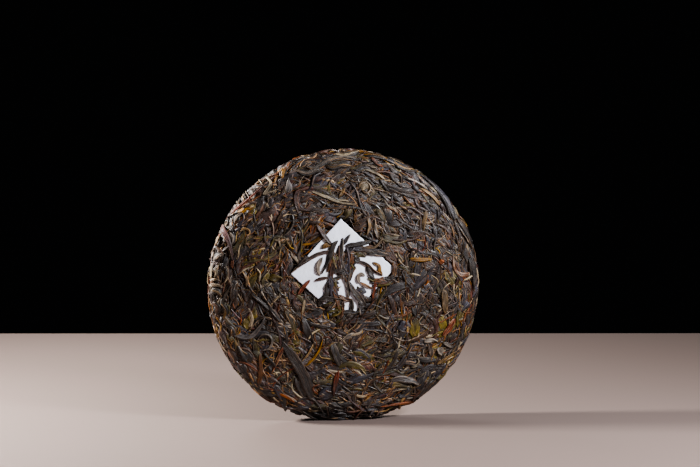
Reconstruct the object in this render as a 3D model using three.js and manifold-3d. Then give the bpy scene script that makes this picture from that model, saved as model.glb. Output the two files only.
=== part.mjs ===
// A pressed cake of raw pu erh tea, 357 g, standing on the flat foot of its rim, in millimetres.
// +Z is up, the domed face with the paper ticket looks along -Y, and the origin is the middle of the
// bounding box's base. The cake is a core with its larger leaves fused on at true size. The ticket is a
// thin square sheet laid on the face and held by the leaves that cross over it.
import * as THREE from "three";
import { mergeVertices } from "three/addons/utils/BufferGeometryUtils.js";
import Module from "manifold-3d";

const wasm = await Module();
wasm.setup();

// Driving dimensions of the core, which the leaves stand out of.
const RIM_RADIUS = 99.3;
const FACE_RADIUS = 86;
const FACE_HEIGHT = 23.4; // from the flat back to the middle of the dome
const DOME_DROP = 3.6;
const RIM_TOP = 12.8;
const RIM_BOTTOM = 4.5;
const BACK_RADIUS = 91;
const DIMPLE_RADIUS = 33; // the hollow that the knot of the pressing cloth leaves in the back
const DIMPLE_DEPTH = 8;
const FOOT_CUT = 2; // how far the foot is pressed flat into the rim
const FOOT_PAD = new THREE.Vector3(27, 5, 13); // the flat flake that the cake rests on: length, depth, width
const FOOT_PAD_PROUD = 0.25;
const FOOT_PAD_PLACE = 10.9; // height of the pad's middle above the flat back, under the centre of mass
const CORE_SIDES = 36;
const LUMP = 0.3;

// The paper ticket.
const TICKET_SIDE = 55;
const TICKET_TURN = THREE.MathUtils.degToRad(47);
const TICKET_CENTRE = new THREE.Vector2(-2.9, 11.7);
const TICKET_THICKNESS = 0.4;
const TICKET_CELLS = 8;
const GAP = 0.35;

// The leaves.
const FLAKE_TRIES = 30;
const LEAF_TRIES = 6000;
const LEAF_SPACING = 13.8;
const BACK_SPACING = 16;
const LEAF_LENGTH = [18, 33];
const LEAF_WIDTH = [2.6, 4.6];
const LEAF_RISE = [1, 1.5];
const LEAF_SINK = 0.8;
const ROOT_SPREAD = 1.5; // a rooted leaf widens this much down to its hidden underside
const TIP_SINK = 0.15; // a leaf's two ends dip this far under the surface
const LEAF_STEPS = 2;
const FLAKE_LENGTH = [12, 20];
const FLAKE_WIDTH = [5, 8];
const FLAKE_RISE = 1;
const TIP_WIDTH = 0.5; // a leaf's width at its two ends, as a share of its full width
const RIM_BIAS = 0.75; // share of the leaves on the shoulder and rim that lie along it
const CROSSING_RISE = 0.9;
const CROSSING_STEP = 8; // the most between two stations of a leaf that crosses the ticket
const SEED = 357;

// Leaves that cross the ticket: [width, x, z, x, z, ...] as seen on the face, from the middle of the cake.
const CROSSING_LEAVES = [
  [3, -25, 49, -17.3, 39, -11.6, 30],
  [4.2, -7, 35.2, -10.6, 32, -12.4, 25, -17.6, 10],
  [2.8, -1.6, 38, -3, 31, -3.4, 21, -1.8, 6],
  [2.2, 3.2, 39.6, -1.6, 32],
  [2.2, 12, 37, 4, 32.6, -4, 29.6],
  [3, -51, 7, -32.2, 17.9, -23, 24, -9, 27],
  [2.8, -23, 7, -30.5, 2.5, -39, -9],
  [2.8, -24, 5, -16, 7.4, -4, 7],
  [3, -6, 28, 8, 31.4, 27, 37.5],
  [3.4, -4, 25.6, 10.9, 28.4, 21, 29.4, 32, 41],
  [4.6, -6, 22.6, 10.9, 25, 22, 25, 41, 24],
  [5, -9.2, 28, -7.5, 17, -6, 8, -8, -1],
  [4.8, 0.8, 27, 2, 14, 1.6, 4, 3, -12],
  [4.4, -12, 10, -12.4, -1, -15, -9, -14, -33],
  [4, -9, 8, -8.8, -4, -8, -18],
  [2.2, 1, 24, 11.5, 18.6, 20, 13, 29, 8.2, 43, 2],
  [3, 19, 18.2, 25, 14.6, 29, 8.6, 37, -5],
  [3.6, 5, 26, 5, 13, 2, 4],
  [3, 15.6, 17, 19.8, 8, 21, 0, 21, -21],
  [2.2, 1, 6, 16, 1.6, 34, -9],
  [5, 0, -3.4, 17, -3, 33, -12],
  [4.6, -10, -6, 4, -9, 20, -8, 31, -15],
  [5, -33, -16, -14, -12, 0, -14],
  [5, 29, -19, 12, -13, -2, -15],
  [5, -24, -26, -12, -18, 2, -20],
  [5, 22, -28, 8, -19, -6, -20],
  [4.6, -14, -36, -4, -24, 6, -12],
  [4.6, 10, -38, 2, -26, -4, -12],
];

const random = seededRandom(SEED);

// A small seeded generator, so that the same leaves fall in the same places each time.
function seededRandom(seed) {
  let state = seed >>> 0;
  return () => {
    state = (state + 0x6d2b79f5) >>> 0;
    let mixed = Math.imul(state ^ (state >>> 15), 1 | state);
    mixed = (mixed + Math.imul(mixed ^ (mixed >>> 7), 61 | mixed)) ^ mixed;
    return ((mixed ^ (mixed >>> 14)) >>> 0) / 4294967296;
  };
}

function between([low, high]) {
  return low + (high - low) * random();
}

// Half of the cake's section: x is the radius, y the height above the flat back.
function coreProfile() {
  const path = new THREE.Path();
  const shoulder = FACE_HEIGHT - DOME_DROP;
  path.moveTo(0, FACE_HEIGHT);
  path.quadraticCurveTo(FACE_RADIUS / 2, FACE_HEIGHT, FACE_RADIUS, shoulder);
  path.bezierCurveTo(FACE_RADIUS + 6, shoulder - 0.6, RIM_RADIUS - 0.4, RIM_TOP + 6, RIM_RADIUS, RIM_TOP);
  path.quadraticCurveTo(RIM_RADIUS + 0.4, (RIM_TOP + RIM_BOTTOM) / 2, RIM_RADIUS - 0.8, RIM_BOTTOM);
  path.quadraticCurveTo(RIM_RADIUS - 2, 0, BACK_RADIUS, 0);
  path.lineTo(DIMPLE_RADIUS, 0);
  path.bezierCurveTo(DIMPLE_RADIUS * 0.68, 0, DIMPLE_RADIUS * 0.5, DIMPLE_DEPTH, 0, DIMPLE_DEPTH);
  return path;
}

const profile = coreProfile();
const profileLine = profile.getSpacedPoints(260);

// The nearest point of the smooth core to a point, with the normal there. Here the cake's axis is Y,
// and its face looks up.
function onCore(point) {
  const radius = Math.hypot(point.x, point.z);
  const target = new THREE.Vector2(radius, point.y);
  let best = null;
  for (let i = 1; i < profileLine.length; i++) {
    const a = profileLine[i - 1];
    const along = profileLine[i].clone().sub(a);
    const share = THREE.MathUtils.clamp(target.clone().sub(a).dot(along) / along.lengthSq(), 0, 1);
    const nearest = a.clone().addScaledVector(along, share);
    const distance = nearest.distanceTo(target);
    if (!best || distance < best.distance) best = { distance, nearest, along };
  }
  const outward = new THREE.Vector2(-best.along.y, best.along.x).normalize();
  const round = new THREE.Vector2(point.x, point.z).normalize();
  return {
    position: new THREE.Vector3(round.x * best.nearest.x, best.nearest.y, round.y * best.nearest.x),
    normal: new THREE.Vector3(round.x * outward.x, outward.y, round.y * outward.x),
    radius: best.nearest.x,
  };
}

function solidOf(geometry) {
  const bare = geometry.clone();
  bare.deleteAttribute("normal");
  bare.deleteAttribute("uv");
  const merged = mergeVertices(bare, 1e-4);
  return new wasm.Manifold(
    new wasm.Mesh({
      numProp: 3,
      vertProperties: new Float32Array(merged.attributes.position.array),
      triVerts: new Uint32Array(merged.index.array),
    }),
  );
}

function geometryOf(solid) {
  const mesh = solid.getMesh();
  const geometry = new THREE.BufferGeometry();
  geometry.setAttribute("position", new THREE.BufferAttribute(mesh.vertProperties, mesh.numProp));
  geometry.setIndex(new THREE.BufferAttribute(mesh.triVerts, 1));
  const faceted = geometry.toNonIndexed();
  faceted.computeVertexNormals();
  return faceted;
}

// The largest closed shell: loose scraps and sealed hollows are the other ones.
function wholePiece(solid) {
  const shells = solid.decompose();
  return shells.reduce((largest, shell) => (shell.volume() > largest.volume() ? shell : largest));
}

// The pressed core, a turned shape with low lumps away from the ticket.
function coreSolid() {
  const outline = profile.getPoints(3).map((p) => new THREE.Vector2(Math.max(p.x, 0), p.y));
  const geometry = new THREE.LatheGeometry(outline.reverse(), CORE_SIDES);
  const position = geometry.attributes.position;
  const point = new THREE.Vector3();
  for (let i = 0; i < position.count; i++) {
    point.fromBufferAttribute(position, i);
    const { normal, radius } = onCore(point);
    if (radius > TICKET_SIDE) {
      const wave = Math.sin(point.x / 7) * Math.cos(point.z / 8.5) + Math.sin((point.x - point.z) / 13);
      point.addScaledVector(normal, LUMP * wave);
    }
    position.setXYZ(i, point.x, point.y, point.z);
  }
  return solidOf(geometry);
}

// A place on the face given as seen from the front, x to the right and z up.
function onFace(x, z) {
  return onCore(new THREE.Vector3(x, FACE_HEIGHT, -z)).position;
}

// How far a point of the face lies inside the ticket's outline, negative outside it.
function insideTicket(point) {
  if (point.y < FACE_HEIGHT - DOME_DROP * 2) return -Infinity;
  const offset = new THREE.Vector2(point.x, -point.z).sub(TICKET_CENTRE);
  const turned = offset.rotateAround(new THREE.Vector2(), -TICKET_TURN);
  return TICKET_SIDE / 2 - Math.max(Math.abs(turned.x), Math.abs(turned.y));
}

// The path of a leaf that wanders over the core from a start point, turning evenly.
function wanderingPath(start, heading, length, turn) {
  const path = [start];
  const step = length / LEAF_STEPS;
  let direction = heading;
  for (let i = 0; i < LEAF_STEPS; i++) {
    const here = path[path.length - 1];
    const next = onCore(here.position.clone().addScaledVector(direction, step));
    direction = direction.clone().applyAxisAngle(next.normal, turn).projectOnPlane(next.normal).normalize();
    path.push(next);
  }
  return path;
}

// A rolled leaf: a bar of a few sides, tapered to its ends and bent along its path. The list lift says
// how far each station is raised off the core.
function leafSolid(path, width, rise, sides, lift) {
  const steps = path.length - 1;
  const geometry = new THREE.CylinderGeometry(1, 1, 1, sides, steps);
  const curve = new THREE.CatmullRomCurve3(path.map((p) => p.position));
  const breadth = width / Math.sin(Math.PI / 3) / 2;
  const position = geometry.attributes.position;
  for (let i = 0; i < position.count; i++) {
    const share = position.getY(i) + 0.5;
    const station = Math.round(share * steps);
    const { position: centre, normal } = path[station];
    const along = curve.getTangent(share).projectOnPlane(normal).normalize();
    const across = new THREE.Vector3().crossVectors(along, normal);
    const fullness = Math.sin(Math.PI * share) ** 0.6;
    const taper = TIP_WIDTH + (1 - TIP_WIDTH) * fullness;
    const height = position.getZ(i) > 0 ? (rise + TIP_SINK) * fullness - TIP_SINK : -LEAF_SINK;
    const vertex = centre.clone();
    vertex.addScaledVector(across, position.getX(i) * breadth * taper);
    vertex.addScaledVector(normal, height + lift[station]);
    position.setXYZ(i, vertex.x, vertex.y, vertex.z);
  }
  return solidOf(geometry);
}

// Whether a leaf keeps off the ticket all along its path.
function clearOfTicket(path, width) {
  return path.every(({ position }, i) => {
    const halfway = position.clone().lerp(path[Math.max(i - 1, 0)].position, 0.5);
    return Math.max(insideTicket(position), insideTicket(halfway)) < -width;
  });
}

// A start point anywhere on the core: on its face, its back, or round its rim.
function startPoint() {
  const azimuth = 2 * Math.PI * random();
  const distance = (RIM_RADIUS + FACE_HEIGHT / 3) * Math.sqrt(random());
  const radius = Math.min(distance, RIM_RADIUS);
  const height = distance < RIM_RADIUS ? (random() < 0.5 ? 2 : -1) * FACE_HEIGHT : FACE_HEIGHT * random();
  return onCore(new THREE.Vector3(Math.cos(azimuth) * radius, height, Math.sin(azimuth) * radius));
}

// Leaves spread evenly over the whole cake, the broad flakes first and then the long rolled ones.
function scatteredLeaves() {
  const leaves = [];
  const centres = [];
  for (let i = 0; i < FLAKE_TRIES + LEAF_TRIES; i++) {
    const flake = i < FLAKE_TRIES;
    const start = startPoint();
    const length = between(flake ? FLAKE_LENGTH : LEAF_LENGTH);
    const width = between(flake ? FLAKE_WIDTH : LEAF_WIDTH);
    const rise = flake ? FLAKE_RISE : between(LEAF_RISE);
    const alongRim = start.radius > FACE_RADIUS && random() < RIM_BIAS;
    const swing = (alongRim ? 0.6 : Math.PI) * (random() - 0.5);
    const heading = new THREE.Vector3(-start.position.z, 0, start.position.x).normalize();
    heading.applyAxisAngle(start.normal, swing);
    const path = wanderingPath(start, heading, length, (random() - 0.5) * 0.6);
    const middle = path[Math.floor(path.length / 2)].position;
    const spacing = start.normal.y < -0.5 ? BACK_SPACING : LEAF_SPACING;
    if (centres.some((c) => c.distanceTo(middle) < spacing)) continue;
    if (!clearOfTicket(path, width)) continue;
    centres.push(middle);
    leaves.push(leafSolid(path, width * ROOT_SPREAD, rise, flake ? 4 : 3, path.map(() => 0)));
  }
  return leaves;
}

// Leaves that pass over the ticket with a gap, and are rooted in the core where they are well clear of it.
function crossingLeaves() {
  const clear = LEAF_SINK + GAP + TICKET_THICKNESS + GAP;
  return CROSSING_LEAVES.map(([width, ...places]) => {
    const corners = [];
    for (let i = 0; i < places.length; i += 2) corners.push(onFace(places[i], places[i + 1]));
    const curve = new THREE.CatmullRomCurve3(corners);
    const steps = Math.ceil(curve.getLength() / CROSSING_STEP);
    const step = curve.getLength() / steps;
    const path = curve.getSpacedPoints(steps).map(onCore);
    const lift = path.map((p) => (insideTicket(p.position) > -width / 2 - step ? clear : 0));
    return leafSolid(path, width, CROSSING_RISE, 3, lift);
  });
}

function footCutter() {
  const size = 3 * RIM_RADIUS;
  const box = new THREE.BoxGeometry(size, size, size);
  box.translate(0, 0, size / 2 + RIM_RADIUS - FOOT_CUT);
  return solidOf(box);
}

// The flat flake of leaf under the foot, a little proud of it, on whose four corners the cake rests.
function footPad() {
  const pad = new THREE.BoxGeometry(FOOT_PAD.x, FOOT_PAD.z, FOOT_PAD.y);
  const underside = RIM_RADIUS - FOOT_CUT + FOOT_PAD_PROUD;
  pad.translate(0, FOOT_PAD_PLACE, underside - FOOT_PAD.y / 2);
  return solidOf(pad);
}

function cakeSolid() {
  const leaves = [...crossingLeaves(), ...scatteredLeaves()];
  const fused = leaves.reduce((whole, leaf) => whole.add(leaf), coreSolid());
  return wholePiece(wholePiece(fused).subtract(footCutter()).add(footPad()));
}

// The ticket: a flat sheet of small cells laid on the dome, its edges along its own two directions.
function ticketSolid() {
  const cells = TICKET_CELLS;
  const geometry = new THREE.BoxGeometry(TICKET_SIDE, TICKET_THICKNESS, TICKET_SIDE, cells, 1, cells);
  geometry.rotateY(TICKET_TURN);
  geometry.translate(TICKET_CENTRE.x, 0, -TICKET_CENTRE.y);
  const position = geometry.attributes.position;
  for (let i = 0; i < position.count; i++) {
    const { position: below, normal } = onCore(onFace(position.getX(i), -position.getZ(i)));
    const height = GAP + TICKET_THICKNESS / 2 + position.getY(i);
    below.addScaledVector(normal, height);
    position.setXYZ(i, below.x, below.y, below.z);
  }
  return solidOf(geometry);
}

function piece(name, solid, colour, roughness) {
  const material = new THREE.MeshStandardMaterial({ color: colour, roughness, metalness: 0 });
  const mesh = new THREE.Mesh(geometryOf(solid), material);
  mesh.name = name;
  return mesh;
}

// The pieces are made with the cake's axis along +Y and its face up, and then turned so that the face
// looks along -Y, with the top of the ticket up.
const cake = piece("tea_cake", cakeSolid(), 0x40352c, 0.7);
const ticket = piece("paper_ticket", ticketSolid(), 0xe9e6ea, 0.85);
const frontward = new THREE.Matrix4().makeBasis(
  new THREE.Vector3(1, 0, 0),
  new THREE.Vector3(0, -1, 0),
  new THREE.Vector3(0, 0, -1),
);
for (const mesh of [cake, ticket]) mesh.geometry.applyMatrix4(frontward);
const bounds = new THREE.Box3().setFromBufferAttribute(cake.geometry.attributes.position);
const middle = bounds.getCenter(new THREE.Vector3());
for (const mesh of [cake, ticket]) mesh.geometry.translate(-middle.x, -middle.y, -bounds.min.z);

const teaCake = new THREE.Group();
teaCake.add(cake, ticket);

export default teaCake;
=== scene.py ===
"""A pressed cake of raw pu erh tea, standing on the flat foot of its rim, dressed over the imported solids.

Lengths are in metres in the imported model's frame: Z is up and the domed face looks along -Y. Names that end
in _MM hold millimetres.
"""
import math
import random

import bpy
from bpy.props import FloatProperty, FloatVectorProperty, PointerProperty
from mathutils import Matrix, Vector, noise


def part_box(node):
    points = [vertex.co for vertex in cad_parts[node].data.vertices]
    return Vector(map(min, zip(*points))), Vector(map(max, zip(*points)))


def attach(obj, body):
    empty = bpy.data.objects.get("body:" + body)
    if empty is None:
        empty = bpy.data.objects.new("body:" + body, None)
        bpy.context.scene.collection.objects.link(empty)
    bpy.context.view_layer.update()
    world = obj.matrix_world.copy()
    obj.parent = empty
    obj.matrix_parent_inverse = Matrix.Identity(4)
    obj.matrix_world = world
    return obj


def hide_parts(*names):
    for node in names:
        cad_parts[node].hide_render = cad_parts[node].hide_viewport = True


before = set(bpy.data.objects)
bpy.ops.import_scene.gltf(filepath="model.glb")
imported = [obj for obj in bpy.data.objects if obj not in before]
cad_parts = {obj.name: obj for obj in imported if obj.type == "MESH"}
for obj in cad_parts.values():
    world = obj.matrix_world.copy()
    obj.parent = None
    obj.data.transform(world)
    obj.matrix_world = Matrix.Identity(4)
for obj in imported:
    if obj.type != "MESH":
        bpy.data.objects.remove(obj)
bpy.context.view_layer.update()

bl_info = {
    "name": "Pressed tea cake",
    "version": (1, 0, 0),
    "blender": (4, 5, 0),
    "location": "3D View > Sidebar > Tea cake",
    "description": "Makes a pressed tea cake's leaves, its paper ticket and its studio",
    "category": "Object",
}

MM = 0.001

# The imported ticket: its middle from the cake's axis, its turn and how far it stands above the dome. The sheet
# made here is moved a little from it, and lies lower, with soft waves.
TICKET_CENTRE_MM = (-2.9, 11.7)
TICKET_TURN = math.radians(47)
TICKET_TOP_MM = 0.75
TICKET_SHIFT_MM = (-0.7, 1.2)
SHEET_CELLS = 72
SHEET_RISE = 0.00055
SHEET_WAVES = 0.00026
SHEET_THICKNESS = 0.00015

# The camera, as the photograph was taken.
CAMERA_AZIMUTH = math.radians(-10)
CAMERA_ELEVATION = math.radians(6.5)
CAMERA_DISTANCE = 1.42
CAMERA_PITCH = math.radians(4.92)
CAMERA_PAN = math.radians(0.15)
LENS_MM = 100
SENSOR_MM = 36

# Where the lights look.
LIGHTS_AIM = (0, 0, 0.09)

# The room's light, and the part of it that the camera does not see.
ROOM_LIGHT = 0.05
ROOM_HIDDEN = 0.047

# The photograph: its size, the cake's middle in it and the millimetres that one pixel across and down shows.
PHOTO_SIZE = (700, 467)
PHOTO_MIDDLE = (343.5, 284)
PHOTO_MM = (0.752, 0.741)

# The grids of the bed of leaves and of the core: cells around the axis, points along the section.
BED_GRID = (180, 120)
CORE_GRID = (240, 150)

# How many leaves are tried for in a square as wide as their spacing.
CROWDING = 2.2

# The dark leaf under a leaf of the rim, laid as painted shade along its sides: how much wider and lower it is.
SHADE_WIDER_MM = 3.0
SHADE_LOWER_MM = 0.8

# How far in front of the cake's middle the lines of the laid leaves start, and how far these leaves dip at
# their ends.
LINE_DISTANCE = 0.1
LAID_DIP = 0.0005


def colour(red, green, blue, alpha=1.0):
    """A colour given in the 0 to 255 numbers of a screen, as linear light."""

    def linear(value):
        value /= 255
        return value / 12.92 if value <= 0.04045 else ((value + 0.055) / 1.055) ** 2.4

    return (linear(red), linear(green), linear(blue), alpha)


TONES = {
    # Near black, for dark leaves laid as painted shade.
    "painted_shade": colour(20, 16, 14),
    "coal": colour(42, 33, 29),
    "slate": colour(55, 54, 66),
    "umber": colour(72, 44, 33),
    "brown": colour(106, 67, 40),
    "grey": colour(146, 134, 122),
    "ash": colour(104, 97, 95),
    "moss": colour(90, 80, 32),
    "olive": colour(124, 106, 40),
    "ochre": colour(146, 104, 42),
    "plum": colour(84, 46, 46),
    "gold": colour(178, 140, 68),
    "rust": colour(122, 56, 34),
    "orange": colour(160, 84, 36),
    "tan": colour(172, 140, 100),
    "cream": colour(206, 188, 158),
    # The next two are glint colours, mixed into the leaves' pale streaks and edges as painted highlight.
    "warm_glint": colour(196, 152, 108),
    "cool_glint": colour(192, 178, 162),
}


# Sockets as formulas


class Field:
    """A node's socket that takes part in formulas."""

    def __init__(self, recipe, socket):
        self.recipe = recipe
        self.socket = socket

    @property
    def is_vector(self):
        return self.socket.type in {"VECTOR", "RGBA"}

    def __add__(self, other):
        return self.recipe.combine("ADD", self, other)

    def __radd__(self, other):
        return self.recipe.combine("ADD", other, self)

    def __sub__(self, other):
        return self.recipe.combine("SUBTRACT", self, other)

    def __rsub__(self, other):
        return self.recipe.combine("SUBTRACT", other, self)

    def __mul__(self, other):
        return self.recipe.combine("MULTIPLY", self, other)

    def __rmul__(self, other):
        return self.recipe.combine("MULTIPLY", self, other)

    def __truediv__(self, other):
        return self.recipe.combine("DIVIDE", self, other)

    def __neg__(self):
        return self * -1.0


class Recipe:
    """Adds nodes to one tree and joins them."""

    def __init__(self, tree):
        self.tree = tree

    def plug(self, socket, value):
        if isinstance(value, Field):
            self.tree.links.new(value.socket, socket)
        else:
            socket.default_value = value

    def node(self, kind, inputs=None, **settings):
        made = self.tree.nodes.new(kind)
        for name, value in settings.items():
            setattr(made, name, value)
        sockets = {socket.identifier: socket for socket in made.inputs}
        for name, value in (inputs or {}).items():
            self.plug(sockets[name], value)
        return made

    def out(self, node, identifier):
        return Field(self, next(s for s in node.outputs if s.identifier == identifier))

    def field(self, kind, identifier, inputs=None, **settings):
        return self.out(self.node(kind, inputs, **settings), identifier)

    def math(self, operation, *values):
        node = self.node("ShaderNodeMath", operation=operation)
        for socket, value in zip(node.inputs, values):
            self.plug(socket, value)
        return Field(self, node.outputs[0])

    def vector_math(self, operation, *values):
        node = self.node("ShaderNodeVectorMath", operation=operation)
        for socket, value in zip(node.inputs, values):
            self.plug(socket, value)
        return Field(self, node.outputs["Value" if operation == "LENGTH" else "Vector"])

    def combine(self, operation, first, second):
        vectors = [isinstance(v, Field) and v.is_vector or isinstance(v, tuple) for v in (first, second)]
        if not any(vectors):
            return self.math(operation, first, second)
        if all(vectors):
            return self.vector_math(operation, first, second)
        vector, scale = (first, second) if vectors[0] else (second, first)
        node = self.node("ShaderNodeVectorMath", operation="SCALE")
        self.plug(node.inputs["Vector"], vector)
        self.plug(node.inputs["Scale"], scale)
        return Field(self, node.outputs["Vector"])

    def cross(self, first, second):
        return self.vector_math("CROSS_PRODUCT", first, second)

    def unit(self, vector):
        return self.vector_math("NORMALIZE", vector)

    def split(self, vector):
        node = self.node("ShaderNodeSeparateXYZ", {"Vector": vector})
        return [Field(self, output) for output in node.outputs]

    def join(self, x, y, z):
        return self.field("ShaderNodeCombineXYZ", "Vector", {"X": x, "Y": y, "Z": z})

    def smooth(self, value, low, high, start=0.0, end=1.0):
        inputs = {"Value": value, "From Min": low, "From Max": high, "To Min": start, "To Max": end}
        return self.field("ShaderNodeMapRange", "Result", inputs, interpolation_type="SMOOTHSTEP")

    def noise(self, vector, scale, detail=2.0, roughness=0.5, distortion=0.0):
        inputs = {
            "Vector": vector,
            "Scale": scale,
            "Detail": detail,
            "Roughness": roughness,
            "Distortion": distortion,
        }
        return self.field("ShaderNodeTexNoise", "Fac", inputs)


class Weave(Recipe):
    """A geometry tree, with what only such a tree has."""

    TYPES = {"FLOAT": "NodeSocketFloat", "INT": "NodeSocketInt", "MATERIAL": "NodeSocketMaterial"}

    def __init__(self, name, inputs):
        super().__init__(bpy.data.node_groups.new(name, "GeometryNodeTree"))
        face = self.tree.interface
        face.new_socket("Geometry", in_out="INPUT", socket_type="NodeSocketGeometry")
        for label, kind in inputs.items():
            face.new_socket(label, in_out="INPUT", socket_type=self.TYPES[kind])
        face.new_socket("Geometry", in_out="OUTPUT", socket_type="NodeSocketGeometry")
        entry = self.tree.nodes.new("NodeGroupInput")
        self.given = {output.name: Field(self, output) for output in entry.outputs if output.name}

    def finish(self, geometry):
        """Ends the tree: real geometry, smooth, in the given material."""
        made = self.field("GeometryNodeSetShadeSmooth", "Geometry", {"Geometry": geometry})
        made = self.field("GeometryNodeRealizeInstances", "Geometry", {"Geometry": made})
        node = self.node("GeometryNodeSetMaterial")
        self.plug(node.inputs["Geometry"], made)
        self.plug(node.inputs["Material"], self.given["Material"])
        leave = self.tree.nodes.new("NodeGroupOutput")
        self.tree.links.new(node.outputs["Geometry"], leave.inputs["Geometry"])
        return self.tree

    def position(self):
        return self.field("GeometryNodeInputPosition", "Position")

    def store(self, geometry, name, value, kind="FLOAT_VECTOR"):
        inputs = {"Geometry": geometry, "Name": name, "Value": value}
        return self.field("GeometryNodeStoreNamedAttribute", "Geometry", inputs, data_type=kind)

    def moved(self, geometry, place):
        inputs = {"Geometry": geometry, "Position": place}
        return self.field("GeometryNodeSetPosition", "Geometry", inputs)

    def stored(self, name, kind="FLOAT_VECTOR"):
        return self.field("GeometryNodeInputNamedAttribute", "Attribute", {"Name": name}, data_type=kind)

    def random(self, low, high, leaf, salt):
        """A number between low and high that is the same all over one leaf."""
        seed = self.given["Seed"] + float(salt) if "Seed" in self.given else salt
        inputs = {"Min_001": low, "Max_001": high, "ID": leaf, "Seed": seed}
        return self.field("FunctionNodeRandomValue", "Value_001", inputs, data_type="FLOAT")


def placed(name, data):
    """A new object of that name in the scene."""
    made = bpy.data.objects.new(name, data)
    bpy.context.scene.collection.objects.link(made)
    return made


def modified(name, base, tree, values):
    """The mesh that a geometry tree makes of a base mesh, as a plain object of that name."""
    carrier = placed(name + "_carrier", base)
    modifier = carrier.modifiers.new("Weave", "NODES")
    modifier.node_group = tree
    sockets = {s.name: s.identifier for s in tree.interface.items_tree if s.in_out == "INPUT"}
    for label, value in values.items():
        modifier[sockets[label]] = value
    evaluated = carrier.evaluated_get(bpy.context.evaluated_depsgraph_get())
    mesh = bpy.data.meshes.new_from_object(evaluated)
    bpy.data.objects.remove(carrier)
    mesh.materials.clear()
    mesh.materials.append(values["Material"])
    mesh.polygons.foreach_set("material_index", [0] * len(mesh.polygons))
    mesh.name = name
    return placed(name, mesh)


def keep(piece, replaced=None):
    """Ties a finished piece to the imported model."""
    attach(piece, "root")
    if replaced:
        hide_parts(replaced)


# The cake's own shape


def bezier(points, steps):
    """Points along a curve with two, three or four control points, without its first."""
    line = []
    for step in range(1, steps + 1):
        share = step / steps
        left = [Vector(p) for p in points]
        while len(left) > 1:
            left = [a.lerp(b, share) for a, b in zip(left, left[1:])]
        line.append(left[0])
    return line


def cake_section(sizes):
    """Half of the cake's section, from the dome's middle to the back's middle: radius and height."""
    rim, top = sizes.rim_radius, sizes.face_height
    face = sizes.face_radius
    shoulder = top - sizes.dome_drop
    rim_top, rim_low = 12.8 * MM, 4.5 * MM
    back, dimple, deep = 91 * MM, sizes.dimple_radius, sizes.dimple_depth
    line = [Vector((0.0, top))]
    line += bezier([(0, top), (face / 2, top), (face, shoulder)], 24)
    above_rim = (rim - 0.4 * MM, rim_top + 6 * MM)
    line += bezier([(face, shoulder), (face + 6 * MM, shoulder - 0.6 * MM), above_rim, (rim, rim_top)], 16)
    line += bezier([(rim, rim_top), (rim + 0.4 * MM, (rim_top + rim_low) / 2), (rim - 0.8 * MM, rim_low)], 8)
    line += bezier([(rim - 0.8 * MM, rim_low), (rim - 2 * MM, 0), (back, 0)], 10)
    line += bezier([(back, 0), (dimple, 0)], 16)
    line += bezier([(dimple, 0), (dimple * 0.68, 0), (dimple * 0.5, deep), (0, deep)], 16)
    return line


def section_mesh(sizes):
    """The section as a line of points in the XZ plane, for the trees to turn."""
    line = cake_section(sizes)
    mesh = bpy.data.meshes.new("cake section")
    edges = [(i, i + 1) for i in range(len(line) - 1)]
    mesh.from_pydata([(p.x, 0.0, p.y) for p in line], edges, [])
    return mesh


def cake_axis():
    """The cake's axis at its back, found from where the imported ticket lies: x, y, z."""
    low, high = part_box("paper_ticket")
    x = (low[0] + high[0]) / 2 - TICKET_CENTRE_MM[0] * MM
    z = (low[2] + high[2]) / 2 - TICKET_CENTRE_MM[1] * MM
    y = low[1] + bpy.context.scene.tea_sizes.face_height + TICKET_TOP_MM * MM
    return Vector((x, y, z))


def turned_bed(weave, section, grid):
    """The smooth pressed surface that the leaves lie in, with its outward direction stored on it."""
    axis = cake_axis()
    cells = {"Size X": 1.0, "Size Y": 1.0, "Vertices X": grid[0] + 1, "Vertices Y": grid[1]}
    sheet = weave.field("GeometryNodeMeshGrid", "Mesh", cells)
    line = weave.field("GeometryNodeMeshToCurve", "Curve", {"Mesh": section})
    u, v, _ = weave.split(weave.position())
    sample = {"Curves": line, "Factor": v + 0.5}
    radius, _, height = weave.split(weave.field("GeometryNodeSampleCurve", "Position", sample))
    turn = u * (2 * math.pi)
    place = weave.join(
        weave.math("COSINE", turn) * radius + axis.x,
        axis.y - height,
        weave.math("SINE", turn) * radius + axis.z,
    )
    bed = {"Geometry": weave.moved(sheet, place), "Distance": 1e-5}
    bed = weave.field("GeometryNodeMergeByDistance", "Geometry", bed)
    bed = weave.field("GeometryNodeFlipFaces", "Mesh", {"Mesh": bed})
    outward = weave.field("GeometryNodeInputNormal", "Normal")
    return weave.store(bed, "outward", outward)


def within_mould(weave, place, radius):
    """Draws what would stand out beyond the cake's rim back to it."""
    axis = cake_axis()
    x, y, z = weave.split(place)
    east = x - axis.x
    north = z - axis.z
    reach = weave.math("SQRT", east * east + north * north)
    share = weave.math("SMOOTH_MIN", reach, radius, 0.0008) / reach
    return weave.join(east * share + axis.x, y, north * share + axis.z)


def off_the_floor(weave, place, gap):
    """Presses what would lie under the floor flat, just above it."""
    x, y, z = weave.split(place)
    return weave.join(x, y, weave.math("MAXIMUM", z, gap))


def core_tree():
    """The dark core that shows between the leaves: the turned bed, sunk a little and lumpy."""
    weave = Weave("pressed core", {"Inset": "FLOAT", "Lump": "FLOAT", "Material": "MATERIAL"})
    bed = turned_bed(weave, weave.given["Geometry"], CORE_GRID)
    here = weave.position()
    lumps = weave.noise(here, 260.0, 3.0) - 0.5
    down = weave.stored("outward") * (lumps * weave.given["Lump"] - weave.given["Inset"])
    return weave.finish(weave.moved(bed, off_the_floor(weave, here + down, 0.0006)))


# Leaves


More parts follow.
